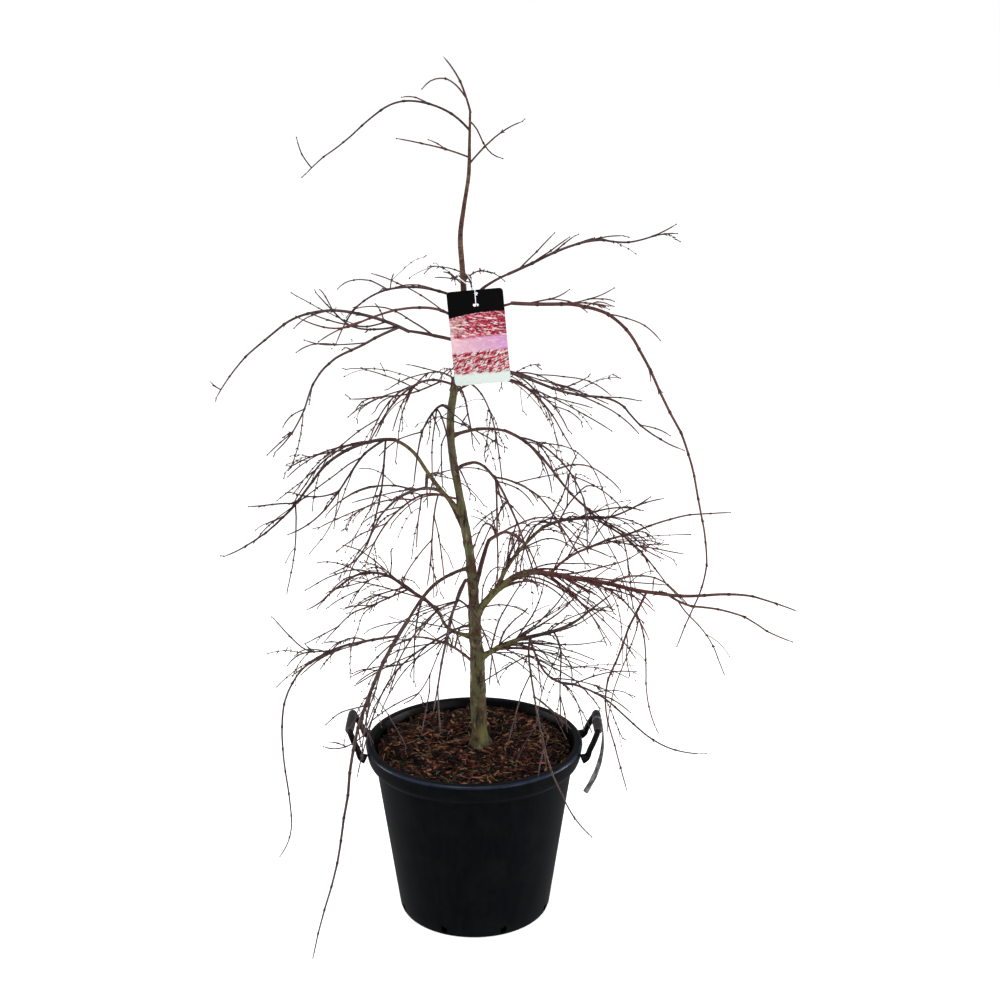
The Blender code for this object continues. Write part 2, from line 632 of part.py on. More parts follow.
def handle_line(side):
    """Middle line of a handle: up its front arm from the collar, along the grip, and down its back arm."""
    foot = COLLAR_R - 0.004
    out = COLLAR_R + HANDLE_OUT
    up = POT_HEIGHT + HANDLE_UP
    half = [
        (foot, HANDLE_HALF + LUG_SPREAD, POT_HEIGHT - LUG_DOWN),
        (COLLAR_R + 0.006, HANDLE_HALF + 0.007, POT_HEIGHT - 0.012),
        (COLLAR_R + 0.012, HANDLE_HALF + 0.005, POT_HEIGHT + 0.002),
        (COLLAR_R + 0.021, HANDLE_HALF + 0.001, POT_HEIGHT + 0.021),
        (out - 0.001, HANDLE_HALF - 0.006, up - 0.002),
        (out, HANDLE_HALF - 0.018, up + 0.001),
        (out + 0.001, 0.014, up + 0.002),
    ]
    front = [(x, -y, z) for x, y, z in half]
    return [(side * x, y, z) for x, y, z in front + half[::-1]]


def handle_radii():
    half = [LUG_R, LUG_R - 0.001, ARM_R, ARM_R, GRIP_R - 0.0005, GRIP_R, GRIP_R]
    return half + half[::-1]


def make_handle(name, side):
    handle = tube(name, handle_line(side), handle_radii(), HANDLE_SIDES, black_plastic(), roll=math.pi / 8)
    deep = POT_HEIGHT - 2 * COLLAR_DEPTH
    solid_collar = [(0.0, deep), (WALL_R, deep), *collar_profile(GAP), (0.0, POT_HEIGHT + GAP)]
    boolean(handle, [turned("collar tool", solid_collar, black_plastic())], "DIFFERENCE")
    smooth(handle)


def trunk_line():
    """Points and radii of the trunk at even heights, read from a smooth curve through its stations."""
    stations = np.array(TRUNK_STATIONS)
    heights = stations[:, 0]
    wanted = np.linspace(0, 1, TRUNK_RINGS) ** 1.15 * heights[-1]
    wanted[1] = heights[1]
    slopes = np.gradient(stations[:, 1:], heights, axis=0)
    place = np.clip(np.searchsorted(heights, wanted, side="right") - 1, 0, len(heights) - 2)
    span = (heights[place + 1] - heights[place])[:, None]
    t = ((wanted - heights[place]) / span[:, 0])[:, None]
    low, high = stations[place, 1:], stations[place + 1, 1:]
    curve = (
        (2 * t**3 - 3 * t**2 + 1) * low
        + (t**3 - 2 * t**2 + t) * span * slopes[place]
        + (3 * t**2 - 2 * t**3) * high
        + (t**3 - t**2) * span * slopes[place + 1]
    )
    foot = MULCH_TOP + GAP
    return np.c_[curve[:, :2], wanted + foot], curve[:, 2]


def root_flare(angle, ring_number):
    """Swells the lowest rings of the trunk into a few root lobes."""
    fade = math.exp(-ROOT_FADE * ring_number)
    return 1 + ROOT_LOBE_DEPTH * fade * math.cos(ROOT_LOBES * angle + 0.8)


def limb_line(limb, start, rng):
    """Sums a limb's direction along its length, and gives its points a fine step apart.

    The pitch runs evenly through the limb's pitches, the bearing turns evenly, and both kink a
    little at each joint.
    """
    joints = max(2, round(limb.length / (KEEP * STEP)))
    count = joints * KEEP
    t = (np.arange(count) + 0.5) / count
    drawn = [[rng.uniform(-KINK, KINK), rng.uniform(-KINK, KINK)] for _ in range(joints)]
    kinks = np.repeat(drawn, KEEP, axis=0)
    stations = np.linspace(0, 1, len(limb.pitches))
    pitch = np.radians(np.interp(t, stations, limb.pitches) + kinks[:, 0])
    bearing = np.radians(limb.bearing + limb.turn * t + kinks[:, 1])
    step = np.c_[np.cos(pitch) * np.cos(bearing), np.cos(pitch) * np.sin(bearing), np.sin(pitch)]
    return np.vstack([start, start + np.cumsum(step * limb.length / count, axis=0)])


def limb_radii(foot, tip, count):
    return tip + (foot - tip) * (1 - np.linspace(0, 1, count)) ** TAPER


def thickened(line, radii, finest=0.003):
    """The line's points and radii, with more points between them, none further apart than `finest`."""
    line = np.asarray(line, float)
    lengths = np.linalg.norm(np.diff(line, axis=0), axis=1)
    along = np.concatenate([[0], np.cumsum(lengths)])
    places = np.linspace(0, along[-1], max(2, int(along[-1] / finest) + 2))
    points = [np.interp(places, along, line[:, axis]) for axis in range(3)]
    return np.column_stack(points), np.interp(places, along, radii)


Grown = namedtuple("Grown", "node line radii parent")


class Crown:
    """Every limb grown so far, and the room that each node holds."""

    def __init__(self):
        self.limbs = {}
        self.points = np.zeros((0, 3))
        self.radii = np.zeros(0)
        self.nodes = np.zeros(0, int)
        self.numbers = {}

    def hold(self, node, line, radii, buried=0.0):
        points, around = thickened(line, radii)
        bare = np.linalg.norm(points - points[0], axis=1) >= buried
        number = self.numbers.setdefault(node, len(self.numbers))
        self.points = np.vstack([self.points, points[bare]])
        self.radii = np.concatenate([self.radii, around[bare]])
        self.nodes = np.concatenate([self.nodes, np.full(bare.sum(), number)])

    def is_clear(self, node, line, radii, parent_node, buried):
        """Whether a limb keeps clear of every other node, and stays above the ground.

        Its foot, buried in its parent, is passed over, and its parent is passed over round its elbow.
        """
        points, around = thickened(line, radii)
        if points[:, 2].min() < LEAST_ROOM:
            return False
        far = np.linalg.norm(points - points[0], axis=1)
        elbow = ELBOW + 2.6 * buried
        for name, number in self.numbers.items():
            if name == node:
                continue
            mine = far >= (elbow if name == parent_node else buried)
            other = self.nodes == number
            gaps = np.linalg.norm(points[mine, None] - self.points[None, other], axis=2)
            gaps -= around[mine, None] + self.radii[None, other]
            if gaps.size and gaps.min() < CLEAR:
                return False
        return True

    def add(self, name, node, line, radii, parent, buried=0.0):
        self.limbs[name] = Grown(node, line, radii, parent)
        self.hold(node, line, radii, buried)


def foot_of(crown, limb):
    """Where a limb starts on the middle of its parent's solid, and how deep that is buried in it."""
    parent = crown.limbs[limb.parent]
    if limb.at == "end":
        return parent.line[-1] + directions(parent.line)[-1] * GAP, 0.0
    if limb.parent == "trunk":
        line, radii = parent.line, parent.radii
        place = limb.at
        along = line[:, 2]
    else:
        line, radii, _ = kept_rings(parent)
        lengths = np.linalg.norm(np.diff(line, axis=0), axis=1)
        along = np.concatenate([[0], np.cumsum(lengths)])
        least = LEAST_ROOM + (0.012 if parent.parent == "trunk" else 0.0)
        place = max(limb.at * along[-1], least)
    start = np.array([np.interp(place, along, line[:, axis]) for axis in range(3)])
    return start, np.interp(place, along, radii)


def grow(crown, limb, node, tip):
    """Grows one named limb, turned aside by the few degrees that keep it clear of other nodes."""
    if limb.parent not in crown.limbs:
        return
    start, buried = foot_of(crown, limb)
    parent_node = crown.limbs[limb.parent].node
    for aside in TURNS_ASIDE:
        line = limb_line(limb._replace(bearing=limb.bearing + aside), start, random.Random(limb.name))
        radii = limb_radii(limb.radius, tip, len(line))
        if crown.is_clear(node, line, radii, parent_node, buried):
            crown.add(limb.name, node, line, radii, limb.parent, buried)
            return


def heart_share(place):
    """1 in the heart of the crown, falling evenly to 0 where the long whips run out bare."""
    reach = math.hypot(place[0], place[1])
    near = (HEART_REACH[1] - reach) / (HEART_REACH[1] - HEART_REACH[0])
    below = (HEART_HEIGHT[1] - place[2]) / (HEART_HEIGHT[1] - HEART_HEIGHT[0])
    above = (place[2] - HEART_FLOOR[0]) / (HEART_FLOOR[1] - HEART_FLOOR[0])
    return min(1.0, max(0.0, near)) * min(1.0, max(0.0, min(below, above)))


def side_twig(line, k, side, heart, rng):
    """A short twig from point k of a limb, to one side of it, that rises and then droops."""
    ahead = directions(line)[k]
    bearing = math.degrees(math.atan2(ahead[1], ahead[0])) + side * rng.uniform(*TWIG_SPREAD)
    pitch = math.degrees(math.asin(ahead[2])) * 0.6 + rng.uniform(*TWIG_RISE)
    length = rng.uniform(*TWIG_LENGTH) * (1.15 - 0.6 * k / len(line))
    length *= TWIG_OUTER_LENGTH + (1 - TWIG_OUTER_LENGTH) * heart
    droop = rng.uniform(*TWIG_DROOP)
    pitches = (pitch, pitch - droop / 3, pitch - droop)
    return Limb("side", "", 0, bearing, rng.uniform(*TWIG_TURN), length, TWIG_FOOT_R, pitches)


def grow_side_twigs(crown, node, names):
    """At the joints of each limb of a spray, twigs leave to one side or the other, by a seeded draw."""
    for name in names:
        if name not in crown.limbs:
            continue
        _, line, radii, _ = crown.limbs[name]
        rng = random.Random(f"{name} {SEED}")
        for k in range(KEEP, len(line) - 1, KEEP):
            side = rng.choice((-1, 1))
            heart = heart_share(line[k])
            chance = TWIG_CHANCE[0] + (TWIG_CHANCE[1] - TWIG_CHANCE[0]) * heart
            twig = side_twig(line, k, side, heart, rng)
            if rng.random() > chance or np.linalg.norm(line[k] - line[0]) < TWIG_BARE:
                continue
            twig_line = limb_line(twig, line[k], rng)
            twig_radii = limb_radii(min(TWIG_FOOT_R, 0.8 * radii[k]), TWIG_TIP_R, len(twig_line))
            if crown.is_clear(node, twig_line, twig_radii, node, radii[k]):
                crown.add(f"{name} side {k}", node, twig_line, twig_radii, name)


def kept_rings(grown):
    """The rings that the solid keeps of a limb: their places, radii and directions."""
    return grown.line[::KEEP], grown.radii[::KEEP], directions(grown.line)[::KEEP]


def trunk_tube(name, grown, grow_by=0.0):
    """The trunk as a tube whose lowest ring lies level."""
    ahead = directions(grown.line)
    ahead[0] = (0, 0, 1)
    radii = grown.radii + grow_by
    return tube(name, grown.line, radii, TRUNK_SIDES, bark_brown(), ahead=ahead, ring=root_flare)


def parent_tool(crown, parent):
    """The parent limb made fatter by the gap, to cut a child's foot to it."""
    grow_by = GAP * 1.3
    if parent == "trunk":
        return trunk_tube("tool", crown.limbs[parent], grow_by)
    line, radii, ahead = kept_rings(crown.limbs[parent])
    return tube("tool", line, radii + grow_by, BOUGH_SIDES, bark_brown(), ahead=ahead)


def make_limb_node(crown, node, sides, surface):
    """All the limbs of one node as tubes, joined, with the foot cut to the parent it grows from."""
    members = [name for name, grown in crown.limbs.items() if grown.node == node]
    stem = members[0]
    parent = crown.limbs[stem].parent
    pieces = []
    for k, name in enumerate(members):
        line, radii, ahead = kept_rings(crown.limbs[name])
        if name == stem and ALL_LIMBS[stem].at == "end":
            ahead[0] = directions(crown.limbs[parent].line)[-1]
        title = node if k == 0 else "piece"
        pieces.append(tube(title, line, radii, sides, surface, ahead=ahead, roll=0.7 * k))
    if len(pieces) > 1:
        boolean(pieces[0], pieces[1:], "UNION")
    if ALL_LIMBS[stem].at != "end":
        boolean(pieces[0], [parent_tool(crown, parent)], "DIFFERENCE")
    smooth(pieces[0])


ALL_LIMBS = {limb.name: limb for limbs in (BOUGHS, *SPRAYS.values()) for limb in limbs}


def hold_made_things(crown):
    """Keeps limbs clear of the pot, the mulch, the handles and the tag."""
    turns = np.linspace(0, math.tau, 120)
    for radius, height in ((COLLAR_R - 0.006, POT_HEIGHT - 0.006), (COLLAR_R - 0.006, POT_HEIGHT - 0.020),
                           (COLLAR_R - 0.010, POT_HEIGHT - 0.034)):
        ring = np.c_[radius * np.cos(turns), radius * np.sin(turns), np.full(120, height)]
        crown.hold("pot", ring, np.full(120, 0.008))
    for height in np.arange(0.0, POT_HEIGHT - COLLAR_DEPTH, 0.012):
        ring = np.c_[np.cos(turns), np.sin(turns), np.zeros(120)] * (wall_radius(height) - 0.008)
        crown.hold("pot", ring + (0, 0, height), np.full(120, 0.010))
    for share in np.arange(0.08, 1.0, 0.08):
        ring = np.c_[np.cos(turns), np.sin(turns), np.zeros(120)] * share * MOUTH_R
        crown.hold("mulch", ring + (0, 0, MULCH_TOP - 0.006), np.full(120, 0.012))
    for side, name in ((-1, "handle_left"), (1, "handle_right")):
        crown.hold(name, handle_line(side), np.array(handle_radii()) + 0.002)
    crown.hold("handle_strip", strip_line()[::3], np.full(len(strip_line()[::3]), 0.006))
    middle = np.array(TAG_MIDDLE)
    for across in np.linspace(-0.5, 0.5, 12):
        low = middle + tag_place(across * TAG_SIZE[0], -TAG_SIZE[1] / 2)
        high = middle + tag_place(across * TAG_SIZE[0], TAG_SIZE[1] / 2)
        crown.hold("tag", np.array([low, high]), np.full(2, 0.007))
    crown.hold("tag_elastic", elastic_line(), np.full(len(elastic_line()), 0.002))


def tag_place(across, up):
    """Offset from the tag's middle of a point on its card, turned by the tag's tilt."""
    cos, sin = math.cos(math.radians(TAG_TILT)), math.sin(math.radians(TAG_TILT))
    return np.array([across * cos - up * sin, 0, across * sin + up * cos])


def rounded_corners(width, tall, radius, steps):
    """Outline of a rectangle with round corners, as (across, up) points, counter-clockwise."""
    points = []
    for turn, (x, y) in enumerate(((1, 1), (-1, 1), (-1, -1), (1, -1))):
        for k in range(steps + 1):
            angle = math.radians(90 * (turn + k / steps))
            across = x * (width / 2 - radius) + radius * math.cos(angle)
            up = y * (tall / 2 - radius) + radius * math.sin(angle)
            points.append((across, up))
    return points


def plate(name, outline, thick, surface, shift=0.0):
    """The tag's outline as a plate of even thickness, standing square to Y."""
    points = []
    for depth in (-thick / 2, thick / 2):
        for across, up in outline:
            points.append(np.array(TAG_MIDDLE) + tag_place(across, up + shift) + (0, depth, 0))
    count = len(outline)
    faces = [tuple(range(count)), tuple(range(count, 2 * count))[::-1]]
    for k in range(count):
        after = (k + 1) % count
        faces.append((k, after, count + after, count + k))
    return add_object(name, points, faces, surface)


def make_tag():
    card = plate("tag", rounded_corners(*TAG_SIZE, TAG_CORNER, 4), TAG_THICK, card_rose())
    slot_up = TAG_SIZE[1] / 2 - TAG_SLOT_DOWN
    outline = rounded_corners(*TAG_SLOT, TAG_SLOT_CORNER, 2)
    slot = plate("slot", outline, 10 * TAG_THICK, card_rose(), shift=slot_up)
    boolean(card, [slot], "DIFFERENCE")


def elastic_line():
    """Closed loop of the elastic: through the tag's slot, up both faces of the card, round the trunk."""
    slot = np.array(TAG_MIDDLE) + tag_place(0.0, TAG_SIZE[1] / 2 - TAG_SLOT_DOWN)
    top = np.array(TAG_MIDDLE) + tag_place(0.0, TAG_SIZE[1] / 2)
    stem_x = STEM_AT_TAG_X
    route = np.array(
        [
            slot + (0, 0.0, 0),
            slot + (0, -0.0024, 0.004),
            top + (0.001, -0.0030, -0.004),
            top + (0.000, 0.0010, 0.008),
            (stem_x + 0.012, -0.009, ELASTIC_TOP - 0.002),
            (stem_x + 0.0074, 0.002, ELASTIC_TOP + 0.002),
            (stem_x, 0.0072, ELASTIC_TOP + 0.003),
            (stem_x - 0.0074, 0.002, ELASTIC_TOP + 0.002),
            (stem_x - 0.006, -0.009, ELASTIC_TOP - 0.003),
            top + (-0.008, 0.0100, 0.004),
            top + (-0.002, 0.0040, -0.006),
            slot + (0, 0.0026, 0.004),
        ]
    )
    return closed_curve(route, 3)


def closed_curve(route, between):
    """A smooth closed curve through the route's points, with `between` steps from each to the next."""
    count = len(route)
    points = []
    for k in range(count):
        before, here, after, last = (route[(k + j) % count] for j in (-1, 0, 1, 2))
        for step in range(between):
            t = step / between
            points.append(
                0.5
                * (
                    2 * here
                    + (after - before) * t
                    + (2 * before - 5 * here + 4 * after - last) * t**2
                    + (3 * here - before - 3 * after + last) * t**3
                )
            )
    return np.array(points)


def make_elastic():
    line = elastic_line()
    smooth(tube("tag_elastic", line, np.full(len(line), ELASTIC_R), 5, elastic_white(), closed=True), 60)


def strip_line():
    """The strip's middle line in the XZ plane: round the grip, then down and in under the collar."""
    centre = np.array([COLLAR_R + HANDLE_OUT + 0.001, 0.0, POT_HEIGHT + HANDLE_UP + 0.002])
    around = GRIP_R + GAP + STRIP_THICK / 2 + 0.0002
    points = []
    for degrees in range(300, -1, -20):
        angle = math.radians(degrees)
        points.append(centre + around * np.array([math.cos(angle), 0, math.sin(angle)]))
    end = points[-1]
    for k in range(1, STRIP_STEPS + 1):
        t = k / STRIP_STEPS
        inward = STRIP_CURL * t**2.2 - 0.006 * math.sin(2.6 * t)
        points.append(end + np.array([-inward, 0, -STRIP_TAIL * t]))
    return np.array(points)


def make_strip():
    line = strip_line()
    ahead = directions(line)
    across = np.cross(ahead, (0, 1, 0)) * STRIP_THICK / 2
    sideways = np.array([0, STRIP_WIDTH / 2, 0])
    points = []
    for place, half in zip(line, across):
        near, far = place + half, place - half
        points += [near - sideways, near + sideways, far + sideways, far - sideways]
    count = len(line)
    faces = [(3, 2, 1, 0), tuple(range(4 * count - 4, 4 * count))]
    for k in range(count - 1):
        for j in range(4):
            after = (j + 1) % 4
            faces.append((4 * k + j, 4 * k + after, 4 * k + 4 + after, 4 * k + 4 + j))
    smooth(add_object("handle_strip", points, faces, paper_white()))


def make_tree():
    crown = Crown()
    hold_made_things(crown)
    line, radii = trunk_line()
    crown.add("trunk", "trunk", line, radii, None)
    smooth(trunk_tube("trunk", crown.limbs["trunk"]))
    for limb in BOUGHS:
        grow(crown, limb, limb.name, BOUGH_TIP_SHARE * limb.radius)
    for node, limbs in SPRAYS.items():
        grow(crown, limbs[0], node, TIP_R)
    for node, limbs in SPRAYS.items():
        for limb in limbs[1:]:
            grow(crown, limb, node, TIP_R)
    for node, limbs in SPRAYS.items():
        grow_side_twigs(crown, node, [limb.name for limb in limbs])
    for limb in BOUGHS:
        make_limb_node(crown, limb.name, BOUGH_SIDES, bark_brown())
    for node in SPRAYS:
        make_limb_node(crown, node, TWIG_SIDES, twig_maroon())


def main():
    clear_scene()
    make_pot()
    make_mulch()
    make_handle("handle_left", -1)
    make_handle("handle_right", 1)
    make_tag()
    make_elastic()
    make_strip()
    make_tree()


main()
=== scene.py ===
"""Looks of a weeping maple in a black nursery pot, bare in winter.

Metres, +Z up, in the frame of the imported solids. The trunk and boughs get bark with relief, the sprays
are grown again by the solids' rule and carried on to finer twigs and buds, and the pot, mulch, handles,
hang tag, elastic and paper strip get their finish.
A bearing is a compass turn about +Z in degrees, 0 along +X; a pitch is the climb above the level.
"""

import itertools
import json
import math
import random
from collections import namedtuple

import bpy
import numpy as np
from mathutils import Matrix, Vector
from mathutils.kdtree import KDTree

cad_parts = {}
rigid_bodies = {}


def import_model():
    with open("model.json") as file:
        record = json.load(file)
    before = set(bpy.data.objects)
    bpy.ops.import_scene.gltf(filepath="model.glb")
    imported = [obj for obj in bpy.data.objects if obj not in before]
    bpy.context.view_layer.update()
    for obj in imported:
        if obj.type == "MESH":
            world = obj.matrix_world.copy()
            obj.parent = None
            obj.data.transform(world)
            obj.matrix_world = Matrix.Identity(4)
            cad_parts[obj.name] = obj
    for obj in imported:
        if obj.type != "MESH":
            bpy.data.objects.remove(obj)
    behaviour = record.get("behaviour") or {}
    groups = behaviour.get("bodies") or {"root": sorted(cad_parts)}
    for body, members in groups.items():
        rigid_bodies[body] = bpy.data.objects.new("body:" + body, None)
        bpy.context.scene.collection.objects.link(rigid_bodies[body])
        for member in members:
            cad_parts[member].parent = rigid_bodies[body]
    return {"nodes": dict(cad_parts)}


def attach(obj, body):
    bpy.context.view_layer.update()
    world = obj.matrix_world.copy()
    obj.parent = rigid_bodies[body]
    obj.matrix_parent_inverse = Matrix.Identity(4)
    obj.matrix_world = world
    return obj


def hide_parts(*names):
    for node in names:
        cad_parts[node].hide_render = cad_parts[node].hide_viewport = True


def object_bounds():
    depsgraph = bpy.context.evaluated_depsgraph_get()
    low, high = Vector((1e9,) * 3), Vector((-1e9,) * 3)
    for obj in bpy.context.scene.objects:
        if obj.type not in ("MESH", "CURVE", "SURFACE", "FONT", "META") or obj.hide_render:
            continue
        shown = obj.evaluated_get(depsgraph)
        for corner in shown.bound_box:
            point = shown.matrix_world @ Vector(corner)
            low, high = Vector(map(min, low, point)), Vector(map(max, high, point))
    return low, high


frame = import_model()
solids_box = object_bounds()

scene = bpy.context.scene

# Clearance between neighbouring solids
GAP = 0.0003

# Pot
POT_HEIGHT = 0.350
FOOT_R = 0.147
FOOT_ROUND = 0.010
WALL_R = 0.191
WALL = 0.003
COLLAR_R = 0.210
COLLAR_DEPTH = 0.044
COLLAR_TAPER = 0.008
MOUTH_R = 0.194
MOUTH_ROUND = 0.003
DRAIN_SLOTS = 8
DRAIN_SLOT = (0.012, 0.016)
DRAIN_SLOT_LOW = 0.0065
DRAIN_SLOT_DEEP = 0.027

# Bark mulch that fills the pot
MULCH_TOP = 0.334
MULCH_WAVE = 0.004
MULCH_EDGE_DOWN = 0.003
MULCH_SIDE_GAP = 0.0012
BARE_ROUND_TRUNK = (0.035, 0.065)

# Handles on the collar, at -X and +X: half the grip's length, reach out of the collar, rise over the rim
HANDLE_HALF = 0.048
HANDLE_OUT = 0.027
HANDLE_UP = 0.034
GRIP_R = 0.009
ARM_R = 0.0068
LUG_R = 0.0098
LUG_SPREAD = 0.008
LUG_DOWN = 0.017

# Trunk: height over the mulch, place along X and Y, radius
TRUNK_FOOT = (0.011, 0.0)
TRUNK_STATIONS = (
    (0.000, 0.011, 0.000, 0.0235),
    (0.022, 0.010, 0.000, 0.0165),
    (0.090, 0.008, 0.001, 0.0150),
    (0.180, 0.006, 0.002, 0.0135),
    (0.265, 0.001, 0.002, 0.0110),
    (0.360, -0.003, 0.000, 0.0092),
    (0.490, -0.022, -0.002, 0.0075),
    (0.610, -0.040, 0.000, 0.0072),
    (0.650, -0.042, 0.001, 0.0078),
    (0.700, -0.034, 0.003, 0.0068),
    (0.790, -0.020, 0.003, 0.0062),
    (0.890, -0.015, 0.001, 0.0054),
    (1.000, -0.020, 0.000, 0.0044),
    (1.085, -0.006, 0.000, 0.0034),
    (1.165, -0.003, 0.000, 0.0026),
    (1.205, -0.002, 0.000, 0.0022),
)
TRUNK_RINGS = 26
ROOT_LOBES = 3
ROOT_LOBE_DEPTH = 0.22

# Limbs: fine step along a limb, rings kept, joint kinks in degrees, tip radius, share of a bough's
# radius left at its tip, power of the taper
STEP = 0.015
KEEP = 3
KINK = 4.0
TIP_R = 0.0010
BOUGH_TIP_SHARE = 0.62
TAPER = 0.85

# Room: reach of the elbow where a limb leaves its parent, clearance from all else, lowest height,
# and the turns aside that a limb tries in degrees
ELBOW = 0.020
CLEAR = 0.0025
LEAST_ROOM = 0.012
TURNS_ASIDE = (0, 4, -4, 8, -8, 12, -12, 17, -17, 23, -23, 30, -30)

# Heart of the crown: reach from the trunk's axis, and height, where it begins to thin and where it ends,
# and the heights over which it comes in again above the bare whip ends
HEART_REACH = (0.19, 0.37)
HEART_HEIGHT = (1.27, 1.42)
HEART_FLOOR = (0.32, 0.42)

# Side twigs: chance at a joint outside the heart and in it, length outside the heart as a share of
# that in it, and the ranges that length and angles are drawn from
TWIG_CHANCE = (0.07, 0.74)
TWIG_OUTER_LENGTH = 0.45
TWIG_LENGTH = (0.055, 0.175)
TWIG_FOOT_R = 0.0013
TWIG_TIP_R = 0.0008
TWIG_SPREAD = (24, 58)
TWIG_RISE = (-12, 24)
TWIG_DROOP = (5, 50)
TWIG_TURN = (-15, 15)
TWIG_BARE = 0.030
SEED = 21

Limb = namedtuple("Limb", "name parent at bearing turn length radius pitches")

# Boughs: where on the parent (height on the trunk, share of the length on a bough), bearing, how far
# the bearing turns, length, radius at the foot, and the pitches from the foot to the tip.
BOUGHS = (
    Limb("bough_right_main", "trunk", 0.600, 350, 0, 0.160, 0.0078, (60, 50, 35, 8)),
    Limb("bough_right_rising", "bough_right_main", 0.45, 14, 0, 0.150, 0.0046, (72, 50, 34)),
    Limb("bough_right_low", "trunk", 0.515, 340, 0, 0.105, 0.0064, (30, 35, 28)),
    Limb("bough_right_arch", "trunk", 0.955, 12, 0, 0.105, 0.0040, (22, 6, -12)),
    Limb("bough_right_upper", "trunk", 1.165, 20, -10, 0.100, 0.0036, (24, 15)),
    Limb("bough_right_top", "trunk", 1.192, 8, 0, 0.105, 0.0034, (50, 38, 24)),
    Limb("bough_left_top", "trunk", 1.130, 170, 8, 0.100, 0.0040, (18, 4)),
    Limb("bough_left_arch", "trunk", 0.805, 186, 0, 0.195, 0.0050, (52, 50, 62, 25)),
    Limb("bough_left_main", "trunk", 0.700, 198, 26, 0.165, 0.0052, (4, -25, -45, -50)),
    Limb("bough_left_hook", "trunk", 0.560, 168, 0, 0.085, 0.0048, (0, 15, 75)),
    Limb("bough_back_low", "trunk", 0.640, 78, 0, 0.150, 0.0058, (45, 35, 5)),
    Limb("bough_back_mid", "trunk", 0.760, 118, 0, 0.140, 0.0050, (50, 35, 0)),
    Limb("bough_back_upper", "trunk", 1.010, 92, 0, 0.115, 0.0038, (40, 20, -10)),
    Limb("bough_front_low", "trunk", 0.660, 262, 0, 0.120, 0.0050, (40, 25, -10)),
    Limb("bough_front_mid", "trunk", 0.890, 300, 0, 0.110, 0.0040, (40, 20, -15)),
)

